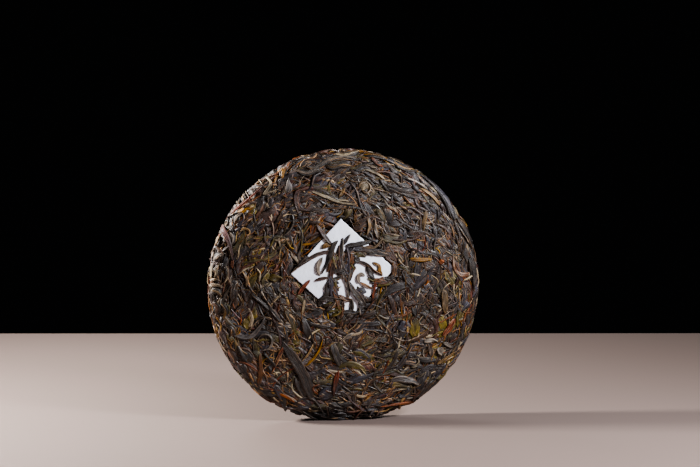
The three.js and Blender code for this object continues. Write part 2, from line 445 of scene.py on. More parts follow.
def on_bed(weave, bed, place):
    """The nearest place on the bed and the outward direction there."""
    foot = weave.field("GeometryNodeProximity", "Position", {"Target": bed, "Source Position": place})
    inputs = {"Mesh": bed, "Value": weave.stored("outward"), "Sample Position": place}
    outward = weave.field("GeometryNodeSampleNearestSurface", "Value", inputs, data_type="FLOAT_VECTOR")
    return foot, weave.unit(outward)


def leaf_skin(weave, bed, foot, outward, heading, section, along, leaf, build):
    """Where a point of a leaf's skin lies.

    foot and outward are the surface under the leaf's middle line, heading is the line's direction, section is
    the point of the unit circle that the skin point is made from, and along runs from -1 to 1.
    """
    # Full in the middle, closed at the ends, and uneven along its edges.
    u, v, _ = weave.split(section)
    end = weave.math("ABSOLUTE", along)
    full = weave.math("POWER", 1.0 - weave.math("POWER", end, build["bluntness"]) * 0.985, 0.55)
    lean = 1.0 + along * build["lean"]
    ragged = weave.noise(weave.join(along * 2.2, u * 0.35, leaf * 7.31), 1.6, 2.0) - 0.5
    wrinkle = weave.noise(weave.join(u * 1.3, v * 1.3, leaf * 5.17 + along * 0.55), 1.0, 1.0) - 0.5
    ragged = ragged + wrinkle * 0.9
    half = build["width"] * 0.5 * full * lean * (1.0 + ragged * build["ragged"])
    deep = build["thickness"] * 0.5 * (0.35 + full * 0.65) * (1.0 + wrinkle * 1.6)
    grooved = 1.0 + weave.math("COSINE", u * math.pi * 1.4) * build["groove"] * -0.8
    # Grooved and curled across, and rolled and twisted along its line.
    x = u * half
    y = v * deep * grooved + u * u * half * build["curl"]
    angle = build["roll"] + along * build["twist"]
    side = weave.unit(weave.cross(outward, heading))
    cosine = weave.math("COSINE", angle)
    sine = weave.math("SINE", angle)
    aside = x * cosine - y * sine
    # Waved up and down, and pressed flat where it would stand above the ceiling.
    waves = weave.noise(weave.join(along * 2.1, leaf * 3.17, 0.5), 1.3, 1.0) - 0.5
    lift = build["lift"] + waves * build["wave"] - weave.math("POWER", end, 3.0) * build["dip"]
    height = x * sine + y * cosine + lift
    ceiling = build["ceiling"] + (weave.noise(foot, 120.0, 1.0) - 0.5) * 0.0012
    ceiling = ceiling + weave.random(-0.0005, 0.0004, leaf, 91)
    height = weave.math("SMOOTH_MIN", height, ceiling, 0.0005)
    under, upward = on_bed(weave, bed, foot + side * aside)
    return under + upward * height, height


def finished_leaves(weave, geometry, place, section, along, leaf, tint, width, length):
    """Moves the skins into place and stores what the materials read."""
    u, _, _ = weave.split(section)
    gap = weave.random(0.0002, 0.0009, leaf, 90)
    radius = weave.noise(place, 90.0, 1.0) * 0.002 + (bpy.context.scene.tea_sizes.rim_radius + 0.0011)
    place = off_the_floor(weave, within_mould(weave, place, radius), gap)
    grain = weave.join(u * width, along * length * 0.5, leaf * 0.013)
    geometry = weave.store(geometry, "leaf_grain", grain)
    geometry = weave.store(geometry, "leaf_place", weave.join(along, u, tint))
    return weave.moved(geometry, place)


def layer_inputs():
    """The inputs of the layer tree and their types."""
    lengths = ("Spacing", "Facing from", "Facing to", *KINDS["strip"])
    return {**dict.fromkeys(lengths, "FLOAT"), **dict.fromkeys(COUNTS, "INT"), "Material": "MATERIAL"}


def layer_tree(sizes):
    """One layer of leaves: bars scattered over the bed, each bent along its own path on it."""
    weave = Weave("leaf layer", layer_inputs())
    given = weave.given
    axis = cake_axis()
    bed = turned_bed(weave, given["Geometry"], BED_GRID)
    _, facing_y, _ = weave.split(weave.stored("outward"))
    facing = -facing_y
    inside = weave.math("GREATER_THAN", facing, given["Facing from"])
    inside = inside * weave.math("LESS_THAN", facing, given["Facing to"])
    crowd = weave.math("DIVIDE", CROWDING, given["Spacing"] * given["Spacing"])
    spread = weave.node(
        "GeometryNodeDistributePointsOnFaces",
        {
            "Mesh": bed,
            "Distance Min": given["Spacing"],
            "Density Max": crowd,
            "Density Factor": inside,
            "Seed": given["Seed"],
        },
        distribute_method="POISSON",
    )
    points = weave.out(spread, "Points")
    points = weave.store(points, "leaf", weave.field("GeometryNodeInputIndex", "Index"), "INT")
    points = weave.store(points, "middle", weave.position())
    points = weave.store(points, "facing", weave.out(spread, "Normal"))

    bar = {"Vertices": given["Sides"], "Side Segments": given["Rings"], "Radius": 1.0, "Depth": 2.0}
    bar = weave.field("GeometryNodeMeshCylinder", "Mesh", bar, fill_type="NGON")
    bar = weave.store(bar, "section", weave.position())
    leaves = weave.field("GeometryNodeInstanceOnPoints", "Instances", {"Points": points, "Instance": bar})
    leaves = weave.field("GeometryNodeRealizeInstances", "Geometry", {"Geometry": leaves})

    leaf = weave.stored("leaf", "INT")
    middle = weave.stored("middle")
    facing = weave.stored("facing")
    section = weave.stored("section")
    _, _, along = weave.split(section)

    def drawn(low, high, salt):
        return weave.random(low, high, leaf, salt)

    # Wide leaves lie together in patches.
    length = drawn(given["Shortest"], given["Longest"], 1)
    patch = weave.smooth(weave.noise(middle, 55.0, 1.0), 0.35, 0.65, 0.45, 1.45)
    share = drawn(0.0, 1.0, 2)
    width = given["Narrowest"] + (given["Widest"] - given["Narrowest"]) * share * share * patch
    # Neighbours share a direction, and near the rim leaves turn to run along it.
    x, _, z = weave.split(middle)
    radial = weave.join(x - axis.x, 0.0, z - axis.z)
    radius = weave.vector_math("LENGTH", radial)
    around = weave.unit(weave.cross((0.0, 1.0, 0.0), radial))
    out = weave.cross(facing, around)
    rimness = weave.smooth(radius, 0.074, 0.093) * given["Along rim"]
    flow = weave.noise(middle, 34.0, 1.0) * 5.2 - 2.6
    wander = drawn(-1.0, 1.0, 3) * (math.pi / 2)
    angle = (wander + (flow - wander) * given["Flow"]) * (1.0 - rimness) + drawn(-0.35, 0.35, 4)
    ahead = around * weave.math("COSINE", angle) + out * weave.math("SINE", angle)
    sideways = weave.cross(facing, ahead)

    # Each leaf's middle line: bent, hooked at one end and a little wavy.
    bend = drawn(-1.0, 1.0, 5) * given["Bend"]
    hook = drawn(-1.0, 1.0, 6) * given["Hook"]
    wiggle = drawn(-1.0, 1.0, 7) * given["Wiggle"]
    phase = drawn(0.0, 6.28, 8)
    tail = weave.math("MAXIMUM", along - 0.35, 0.0)
    swing = along * 3.3 + phase
    aside = bend * along * along + hook * tail * tail * 1.6 + wiggle * weave.math("SINE", swing)
    turn = bend * along * 2.0 + hook * tail * 3.2 + wiggle * weave.math("COSINE", swing) * 3.3
    half = length * 0.5
    line = middle + ahead * (along * half) + sideways * (aside * half)
    course = ahead + sideways * turn

    # The upper part of the cake is pressed less.
    foot, outward = on_bed(weave, bed, line)
    loose = weave.smooth(z, 0.1, 0.16, 1.0, 1.35)
    build = {
        "width": width,
        "thickness": given["Thickness"] * drawn(0.7, 1.3, 9) * loose,
        "bluntness": given["Bluntness"],
        "lean": drawn(-1.0, 1.0, 10) * given["Lean"],
        "ragged": given["Ragged"],
        "groove": given["Groove"],
        "curl": drawn(-0.4, 1.0, 11) * given["Curl"],
        "roll": drawn(-1.0, 1.0, 12) * given["Roll"],
        "twist": drawn(-1.0, 1.0, 13) * given["Twist"],
        "lift": drawn(given["Lowest"], given["Highest"], 14) - weave.smooth(z, 0.02, 0.004) * 0.0022,
        "wave": given["Wave"],
        "dip": given["Dip"],
        "ceiling": given["Ceiling"] * loose * loose,
    }
    place, height = leaf_skin(weave, bed, foot, outward, course, section, along, leaf, build)

    # A leaf that would cover the ticket is left out whole.
    crossing = on_ticket(weave, place, given["Ticket margin"], sizes)
    crossing = crossing * weave.math("GREATER_THAN", height, 0.0002)
    touched = {"Value": crossing, "Group Index": leaf}
    touched = weave.field("GeometryNodeAccumulateField", "Total", touched, data_type="FLOAT")
    leaves = weave.store(leaves, "place", place)
    # How far each point lies above half its ceiling; the materials darken low points as painted shade between
    # leaves.
    leaves = weave.store(leaves, "leaf_height", height - build["ceiling"] * 0.5, "FLOAT")
    cleared = {"Geometry": leaves, "Selection": weave.math("GREATER_THAN", touched, 0.5)}
    leaves = weave.field("GeometryNodeDeleteGeometry", "Geometry", cleared)
    tint = drawn(0.0, 1.0, 15)
    leaves = finished_leaves(weave, leaves, weave.stored("place"), section, along, leaf, tint, width, length)
    return weave.finish(leaves)


def ticket_middle():
    """How far to the right of the cake's axis, and how far above it, the sheet's middle lies."""
    return [(centre + shift) * MM for centre, shift in zip(TICKET_CENTRE_MM, TICKET_SHIFT_MM)]


def on_ticket(weave, place, margin, sizes):
    """1 where a point is in front of the ticket or within a margin of it, and 0 elsewhere."""
    axis = cake_axis()
    x, y, z = weave.split(place)
    right, up = ticket_middle()
    east = x - (axis.x + right)
    north = z - (axis.z + up)
    cosine, sine = math.cos(TICKET_TURN), math.sin(TICKET_TURN)
    first = weave.math("ABSOLUTE", east * cosine + north * sine)
    second = weave.math("ABSOLUTE", north * cosine - east * sine)
    reach = weave.math("MAXIMUM", first, second) - margin
    front = weave.math("LESS_THAN", y, axis.y - sizes.face_height / 2)
    return weave.math("LESS_THAN", reach, sizes.ticket_side / 2) * front


def laid_tree():
    """Leaves laid one by one: lines in front of the cake, dropped onto it along the camera's view and swept."""
    weave = Weave("laid leaves", {**dict.fromkeys(COUNTS, "INT"), "Material": "MATERIAL"})
    given = weave.given
    lines = weave.field("GeometryNodeMeshToCurve", "Curve", {"Mesh": given["Geometry"]})
    lines = weave.field("GeometryNodeCurveSplineType", "Curve", {"Curve": lines}, spline_type="CATMULL_ROM")
    count = given["Rings"] + 1.0
    lines = weave.field("GeometryNodeResampleCurve", "Curve", {"Curve": lines, "Count": count})
    line = {"Object": bpy.data.objects["cake_section_line"]}
    section = weave.field("GeometryNodeObjectInfo", "Geometry", line)
    bed = turned_bed(weave, section, BED_GRID)
    view = weave.unit(weave.position() - tuple(camera_place()))
    drop = weave.node(
        "GeometryNodeRaycast",
        {
            "Target Geometry": bed,
            "Attribute": weave.stored("outward"),
            "Source Position": weave.position(),
            "Ray Direction": view,
            "Ray Length": 1.0,
        },
        data_type="FLOAT_VECTOR",
    )
    lines = weave.store(lines, "outward", weave.unit(weave.out(drop, "Attribute")))
    lines = weave.store(lines, "middle", weave.out(drop, "Hit Position"))
    lines = weave.moved(lines, weave.stored("middle"))
    lines = weave.store(lines, "heading", weave.field("GeometryNodeInputTangent", "Tangent"))
    share = weave.field("GeometryNodeSplineParameter", "Factor")
    lines = weave.store(lines, "along", share * 2.0 - 1.0, "FLOAT")
    ring = {"Resolution": given["Sides"], "Radius": 1.0}
    ring = weave.field("GeometryNodeCurvePrimitiveCircle", "Curve", ring)
    ring = weave.store(ring, "section", weave.position())
    swept = {"Curve": lines, "Profile Curve": ring, "Scale": 0.0005, "Fill Caps": True}
    skins = weave.field("GeometryNodeCurveToMesh", "Mesh", swept)

    leaf = weave.stored("leaf", "INT")
    section = weave.stored("section")
    along = weave.stored("along", "FLOAT")
    width = weave.stored("width", "FLOAT")
    build = {
        "width": width,
        "thickness": weave.stored("thickness", "FLOAT"),
        "bluntness": 3.2,
        "lean": weave.random(-0.2, 0.2, leaf, 1),
        "ragged": 0.7,
        "groove": 0.6,
        "curl": weave.random(0.0, 0.5, leaf, 2),
        "roll": weave.random(-0.6, 0.6, leaf, 3),
        "twist": weave.random(-1.3, 1.3, leaf, 4),
        "lift": weave.stored("lift", "FLOAT"),
        "wave": 0.001,
        "dip": weave.stored("dip", "FLOAT"),
        "ceiling": weave.math("MAXIMUM", weave.stored("lift", "FLOAT") + 0.0005, 0.0023),
    }
    foot = weave.stored("middle")
    outward = weave.stored("outward")
    heading = weave.stored("heading")
    place, height = leaf_skin(weave, bed, foot, outward, heading, section, along, leaf, build)
    # Each point's height over the bed; the materials darken low points as painted shade between leaves.
    skins = weave.store(skins, "leaf_height", height, "FLOAT")
    length = weave.stored("length", "FLOAT")
    tint = weave.random(0.0, 1.0, leaf, 5)
    leaves = finished_leaves(weave, skins, place, section, along, leaf, tint, width, length)
    return weave.finish(leaves)


def camera_place():
    """Where the camera stands."""
    axis = cake_axis()
    level = math.cos(CAMERA_ELEVATION) * CAMERA_DISTANCE
    return Vector(
        (
            axis.x + math.sin(CAMERA_AZIMUTH) * level,
            -math.cos(CAMERA_AZIMUTH) * level,
            axis.z + math.sin(CAMERA_ELEVATION) * CAMERA_DISTANCE,
        )
    )


def sight(x, z):
    """The direction in which the camera sees a place, given in millimetres from the cake's middle."""
    turn = CAMERA_AZIMUTH - CAMERA_PAN
    level = math.cos(CAMERA_PITCH)
    ahead = Vector((-math.sin(turn) * level, math.cos(turn) * level, -math.sin(CAMERA_PITCH)))
    right = Vector((math.cos(turn), math.sin(turn), 0.0))
    up = right.cross(ahead)
    reach = PHOTO_SIZE[0] * LENS_MM / SENSOR_MM
    across = PHOTO_MIDDLE[0] + x / PHOTO_MM[0] - PHOTO_SIZE[0] / 2
    down = PHOTO_MIDDLE[1] - z / PHOTO_MM[1] - PHOTO_SIZE[1] / 2
    return (ahead + right * (across / reach) - up * (down / reach)).normalized()


def matted_leaves():
    """Smaller leaves that hide parts of the ticket, in the form of the laid leaves."""
    draw = random.Random(8)
    tones = ("coal", "coal", "slate", "umber", "brown", "moss")
    leaves = []
    for x, z, wide, high, direction, count in MATTED_ZONES:
        for _ in range(count):
            angle = math.radians(direction + draw.gauss(0, 28))
            reach = draw.uniform(2.5, 6)
            turn = draw.uniform(0, 2 * math.pi)
            share = math.sqrt(draw.random())
            east = x + wide * share * math.cos(turn)
            north = z + high * share * math.sin(turn)
            bow = draw.uniform(-0.25, 0.25)
            line = []
            for step in (-1, 0, 1):
                side = bow * reach * step * step
                line += [
                    east + reach * step * math.cos(angle) - side * math.sin(angle),
                    north + reach * step * math.sin(angle) + side * math.cos(angle),
                ]
            leaf = (draw.choice(tones), draw.uniform(1.6, 3.4), draw.uniform(1.2, 1.6), *line)
            if not hides_bare_paper(leaf):
                leaves.append(leaf)
    return leaves


def with_painted_shade(leaves):
    """Leaves with a wider dark leaf under each of them, as painted shade along their sides."""
    shade = [
        ("painted_shade", width + SHADE_WIDER_MM, lift - SHADE_LOWER_MM, *line) for _, width, lift, *line in leaves
    ]
    return shade + leaves


def hides_bare_paper(leaf):
    """Whether a leaf of three points would cover one of the spots where the paper shows."""
    _, width, _, *places = leaf
    ends = list(zip(places[::2], places[1::2]))
    for x, z, wide, high in BARE_SPOTS:
        for (x1, z1), (x2, z2) in zip(ends, ends[1:]):
            for step in range(5):
                share = step / 4
                aside = abs(x1 + (x2 - x1) * share - x) / (wide + width * 0.4)
                above = abs(z1 + (z2 - z1) * share - z) / (high + width * 0.4)
                if max(aside, above) < 1:
                    return True
    return False


def laid_lines(leaves):
    """Lines of points in front of the cake, one for each leaf, with each leaf's own values on its points."""
    camera = camera_place()
    points, edges, values = [], [], []
    for number, (tone, width, lift, *places) in enumerate(leaves):
        reach = CAMERA_DISTANCE - LINE_DISTANCE
        spots = [camera + sight(x, z) * reach for x, z in zip(places[::2], places[1::2])]
        length = sum((b - a).length for a, b in zip(spots, spots[1:]))
        first = len(points)
        points += spots
        edges += [(i, i + 1) for i in range(first, len(points) - 1)]
        thickness = min(max(width * 0.45, 0.9), 1.5) * MM
        values += [(number, width * MM, thickness, lift * MM, LAID_DIP, length, TONES[tone])] * len(spots)
    mesh = bpy.data.meshes.new("laid lines")
    mesh.from_pydata(points, edges, [])
    names = ("leaf", "width", "thickness", "lift", "dip", "length")
    for column, name in enumerate(names):
        kind = "INT" if name == "leaf" else "FLOAT"
        attribute = mesh.attributes.new(name, kind, "POINT")
        attribute.data.foreach_set("value", [row[column] for row in values])
    tones = mesh.attributes.new("leaf_colour", "FLOAT_COLOR", "POINT")
    tones.data.foreach_set("color", [part for row in values for part in row[-1]])
    return mesh


# Leaves laid one by one, as the camera sees them: tone, width, lift, then x and z of points from the middle of
# the cake, all in millimetres. These cross the ticket.
TICKET_LEAVES = [
    ("umber", 3, 1.4, -20.8, 44.6, -16.5, 38.1, -12.3, 32.5, -8.6, 28.8),
    ("ochre", 3.6, 1.4, -16.5, 26.3, -12.6, 29.1, -9.4, 27.8),
    ("coal", 4.4, 1.9, -4.3, 32.2, -7.6, 29.1, -9.8, 23.7, -12.3, 16.3, -16.5, 7.5),
    ("brown", 2, 1.7, -7.6, 25.6, -9.8, 18.2, -12.3, 8.9),
    ("coal", 3.6, 1.9, -0.6, 34.4, -1.3, 26.5, -1.7, 18.2, -0.6, 9.8, 2.3, 1.5, 3.7, -10.5),
    ("slate", 2.4, 1.8, 4.9, 36.9, 2.3, 33.4, 0.2, 29.1),
    ("umber", 3, 1.5, -3.4, 28.8, -4.3, 21.9, -3.4, 13.5, -2, 7),
    ("umber", 3.2, 1.6, -39.1, 8.4, -33.5, 13.5, -25.9, 18.6, -19.4, 22.3, -11.8, 23.9, -5.3, 22.8),
    ("coal", 3.4, 1.4, -35.8, 11.2, -31.6, 15.8, -26.4, 20.5),
    ("moss", 5.5, 1.6, -6.7, 21.4, -6, 16.3, -5.7, 11.2),
    ("coal", 3.4, 1.5, -9, 9.8, -3.4, 9.8, 2.3, 11.7),
    ("umber", 3.6, 1.4, -8.1, 22.8, -7.1, 16.3, -9, 9.8, -10, 1.5),
    ("slate", 4.4, 1.4, 2.3, 27.4, 3.2, 20, 2.3, 12.6, 4.1, 5.2),
    ("brown", 3.6, 1.5, 6, 26.5, 6.5, 20, 5.1, 13.5, 2.3, 8.9),
    ("coal", 3.2, 1.6, 9.8, 18.2, 7, 13.5, 5.1, 8, 3.2, 1.5),
    ("coal", 3.6, 1.5, -11.8, 2.9, -7.1, 3.3, -0.6, 6.1),
    ("slate", 4.4, 1.6, -10.9, 7, -9.5, 1.5, -10.4, -5.9, -8.6, -13.3),
    ("brown", 2.8, 1.7, -7.6, 1.5, -7.1, -5.9, -5.3, -11.5, -2.9, -19.8),
    ("coal", 3.4, 1.5, -11.4, 2.9, -13.3, -2.2, -12.8, -6.8, -16.5, -11.5, -19.4, -15.2),
    ("coal", 3.6, 1.5, 1.3, 28.5, 7.9, 29.1, 16.4, 30.7, 21.1, 31.6),
    ("slate", 3.8, 1.5, 2.3, 25.6, 11.7, 26.5, 21.1, 25.1, 30.5, 24.6),
    ("coal", 3.8, 1.6, 6, 22.8, 15.4, 23.3, 24.8, 22.8, 34.2, 21.4),
    ("umber", 2.6, 1.8, 7.9, 24.6, 19.2, 25.6, 28.6, 23.7),
    ("tan", 1.8, 1.9, 11.7, 27.9, 19.2, 27, 24.8, 28.5, 29.5, 34.8),
    ("coal", 4.4, 1.9, 7.4, 21.4, 9.3, 18.6, 12.1, 16.8),
    ("umber", 2.6, 1.8, 7.9, 16.8, 13.5, 16.3, 18.2, 14, 22.9, 9.8, 29.5, 6.6),
    ("ochre", 2.4, 1.6, 21.5, 16.1, 26.2, 14, 26.9, 9.8, 29.1, 7),
    ("grey", 2.6, 1.6, 11.7, 0.6, 10.9, 5.2, 13.1, 7.8, 15.9, 5.9),
    ("brown", 1.8, 1.7, 12.1, 1.5, 16.4, -0.8, 22, -3.3),
    ("coal", 4.6, 1.5, 3.7, 2, 6.5, -4.1, 11.7, -10.5, 16.4, -17),
    ("slate", 6.4, 1.4, 9, -6.1, 13.5, -5.2, 17.1, -5.9),
    ("coal", 4, 1.4, 10.7, -10.7, 15.4, -11.5, 21.1, -11.0),
    # A grey leaf on the paper to the left of the wide coal leaf that ends at (-16.5, 7.5): painted shadow of
    # that leaf.
    ("grey", 3.2, 1.3, -15.8, 19.8, -18.8, 14.5, -19.6, 10.0, -17.8, 6.0),
    ("rust", 2.3, 1.8, 25, 4.7, 23.1, -1.3, 22.2, -6.8, 21.5, -11.9),
    ("coal", 3.8, 1.5, 16.8, 12.6, 20.1, 8, 23.1, 2.9),
    ("umber", 3.4, 1.4, 36.9, 16.3, 38, 11.7, 37.2, 5.2),
    ("coal", 3.4, 1.4, 30.5, 5, 34.2, 4.1, 38.4, 7),
    ("umber", 3.4, 1.4, 24.4, 2.9, 28.6, 1.5, 35.2, 2.6),
    ("umber", 2.6, 1.6, -21.7, 2.6, -17.5, 4.1, -11.8, 5.2),
    ("rust", 2.9, 1.5, -25.2, 3.2, -27.8, 0.6, -31.6, -4.1, -34.4, -7.8),
    ("coal", 4, 1.4, -19.4, -11.9, -12.8, -10.7, -5.3, -11.5, 0.4, -10.5),
    ("umber", 3.2, 1.5, -4.8, -8.2, 0.4, -10.7, 6.5, -11.5),
    ("coal", 3.4, 1.5, 5.5, -10.5, 6.2, -15.2, 5.5, -20.7),
    ("slate", 3.4, 1.4, 11.4, -11.5, 12.9, -16.1, 12.4, -22.6),
    ("umber", 2.8, 1.5, -0.9, -11.5, -0.5, -16.0, -0.7, -21.5),
    ("coal", 3.0, 1.4, 9.6, -20.8, 3.4, -20.2, -3.0, -21.6),
]
# Where smaller leaves hide the ticket: the middle, the half widths, the leaves' direction and number.
MATTED_ZONES = [
    (-3.0, 17.0, 6.5, 10.0, 88, 26),
    (3.0, 12.0, 4.0, 9.0, 95, 14),
    (16.0, 24.2, 15.0, 2.8, 2, 20),
    (-8.6, -3.0, 3.0, 8.0, 95, 12),
    (0.0, -17.5, 15.0, 4.5, 20, 44),
    (0.0, -24.0, 7.0, 5.0, 60, 22),
    (16.0, -8.0, 6.0, 5.0, 120, 18),
    (27.0, 2.0, 5.0, 2.2, 10, 10),
]
# Where the paper shows between those: the middle and the half widths.
BARE_SPOTS = [
    (1.9, -16.0, 0.9, 3.2),
    (8.9, -16.2, 0.9, 3.2),
    (-13.5, -11.6, 1.1, 0.9),
    (18.9, -4.6, 1.6, 3.6),
]
# The ones that stand out on the face.
FACE_LEAVES = [
    ("rust", 1.7, 3.6, -91, 43.7, -80, 53.6, -68, 64.6, -57.2, 74.3),
    ("plum", 4.6, 2.8, -90.4, 43, -88.6, 38, -85.4, 28, -83.2, 17.4),
    ("orange", 2.2, 1.8, -83.6, 18.4, -83.4, 11.4),
    ("cream", 1.7, 2.0, -58.3, 78.2, -54.4, 75.1, -57, 70, -60.2, 66.1, -55, 68, -49.3, 70.2),
    ("ash", 5.0, 1.4, -41.7, 79.3, -41.2, 73, -42.5, 67.4),
    ("cream", 2.1, 1.6, -24, 68.7, -14.2, 64.8, -3.2, 60.4, 9.4, 58.8),
    ("tan", 2.0, 1.4, -3.9, 63.6, -1, 68, 1.1, 71.9),
    ("tan", 2.6, 1.3, 11, 70, 12.6, 74.6, 17, 75.2, 19.6, 71, 16.6, 67.4, 13.6, 69.6),
    ("cream", 4.6, 1.5, 13.2, 69.6, 15.6, 73.0, 17.8, 70.4),
    ("cream", 1.7, 1.6, 12.1, 83.4, 16.7, 84.6, 25.1, 81.4, 30.9, 77.6),
    ("cream", 2.2, 1.6, 64, 72, 67.8, 69.3, 73.6, 64.8, 78.2, 58.5, 79.6, 54),
    ("tan", 1.8, 1.5, 56.2, 71.9, 65.9, 65.5, 72.3, 57.8),
    ("orange", 2.6, 1.2, 19.9, 93.6, 25.7, 88.5, 29.6, 87.1),
    ("tan", 3.2, 1.4, 62, 54.6, 60.4, 46, 59.4, 38.7),
    ("tan", 2.4, 1.4, 18.6, 50.2, 18.9, 43, 17.3, 36.2),
    ("grey", 2.6, 1.4, 23.2, 49.5, 23.4, 42, 25.7, 33.6),
    ("coal", 4.2, 1.3, 30.2, 73.8, 43, 68.4, 56.8, 64.2),
    ("ochre", 3.0, 1.3, 49, 18.8, 57, 18, 66.6, 18.4),
    ("orange", 3.6, 1.2, 71.4, 17.6, 75, 15.4),
    ("tan", 5.2, 1.3, 75, -4, 75.8, -13, 76.2, -21.6),
    ("olive", 5.4, 1.2, -56, 4, -50.8, 4.8, -45.4, 4),
    ("rust", 5.4, 1.4, 74.3, -38.4, 79.4, -32.4, 83.4, -25.6),
    ("grey", 3.4, 1.4, 60.1, -42.6, 65.4, -41.4, 70.5, -42.4),
    ("grey", 3.2, 1.4, 74.3, -43, 77.8, -44.6, 80.8, -47.4),
    ("grey", 6.4, 1.3, 71.6, -46.4, 73.4, -52.8),
    ("tan", 1.8, 1.5, 69.8, -59.4, 77.5, -53.7, 84.7, -49.3),
    ("cream", 1.8, 1.6, 50.4, -61.4, 54, -60.4, 56.2, -57.8, 55.6, -54.6),
    ("coal", 7.4, 1.3, -46.4, -42, -44.7, -45.4, -35.6, -58.2, -27.2, -74.2, -24, -86),
    ("rust", 2.6, 1.5, -45.3, -46.1, -49.6, -55.6, -53.8, -65.2),
    ("brown", 3.3, 1.3, -62.8, -51.1, -62.4, -63, -63.5, -75.4),
    ("grey", 1.8, 1.4, -65, -42, -62, -37.8, -56.6, -37.6, -53.6, -42, -56, -47.6, -61, -49),
    ("ash", 3.6, 1.3, -82.3, -38.4, -71.2, -39, -64.1, -32.7, -59, -24.4),
    ("ochre", 1.8, 1.5, -15.6, -40.3, -19.4, -50.5, -29.1, -61.4),
    ("rust", 3.7, 1.4, -3.9, -63.9, -6.4, -73, -7.7, -83.1),
    ("orange", 1.7, 1.5, -18.1, -74.2, -23.3, -76.7, -19.4, -81.8),
    ("orange", 1.8, 1.3, -48.6, -81.1, -42.1, -83.7, -36.9, -87.5),
    ("orange", 2.0, 1.3, 27.1, -90.8, 42.6, -88.2, 54.9, -86.3),
    ("coal", 2.6, 1.4, -69.3, -7.1, -62, -13, -55, -19.9),
    ("coal", 2.6, 1.4, -60.2, -8.4, -54, -19, -46.6, -28.8),
    ("ash", 5.0, 1.2, 34.8, -71.6, 41, -69.8, 46.5, -70.6, 52, -72, 56.2, -74.8),
    ("cream", 2.2, 1.8, -97.4, 15.6, -98.2, 10, -98.6, 4.7),
    ("tan", 2.2, 1.8, -94, 14.4, -95.1, 7.4, -93.5, 3),
    ("tan", 1.8, 1.9, -99.4, 3, -96, 3.4, -92.5, 2.5),
    ("tan", 2.0, 1.9, -99.6, -0.7, -95, -0.8, -90.3, -2.4),
    ("cream", 1.3, 1.4, 89.8, 2.6, 93.8, 4.8, 97.6, 7.2),
    ("tan", 1.6, 1.8, -77.8, 38.5, -75.6, 41.1, -71.8, 40.4, -70.7, 37.8, -73.3, 35.6),
    ("cream", 1.5, 1.6, -52.3, 32.6, -48.8, 31.8, -48.0, 27.6),
    ("gold", 1.5, 1.6, -43.0, 32.6, -40.5, 27.6, -37.1, 26.0),
    ("cream", 1.5, 1.6, -65.6, 12.0, -63.0, 7.9, -63.8, 1.3),
    ("tan", 1.8, 1.6, -76.4, 9.6, -73.1, 4.6, -73.1, -2.0),
    # The next five lie low and dark in the deep gaps between bigger leaves: dark leaves laid as painted shade.
    ("painted_shade", 7.0, 0.2, -80, -45, -75, -51, -70, -59),
    ("painted_shade", 7.0, 0.3, -60, -50, -56, -57, -52, -65),
    ("coal", 5.5, 0.9, -31, -25, -27, -35, -21, -46),
    ("coal", 5.0, 0.7, -9, -44, -6, -52, -3, -61),
    ("coal", 5.0, 0.6, -36, -68, -33, -76, -29, -84),
    ("tan", 1.4, 1.5, -21.4, -42.0, -25.6, -49.6, -31.4, -57.0),
    ("cream", 1.2, 1.6, -26.6, -40.8, -23.2, -36.0, -17.8, -33.0),
]
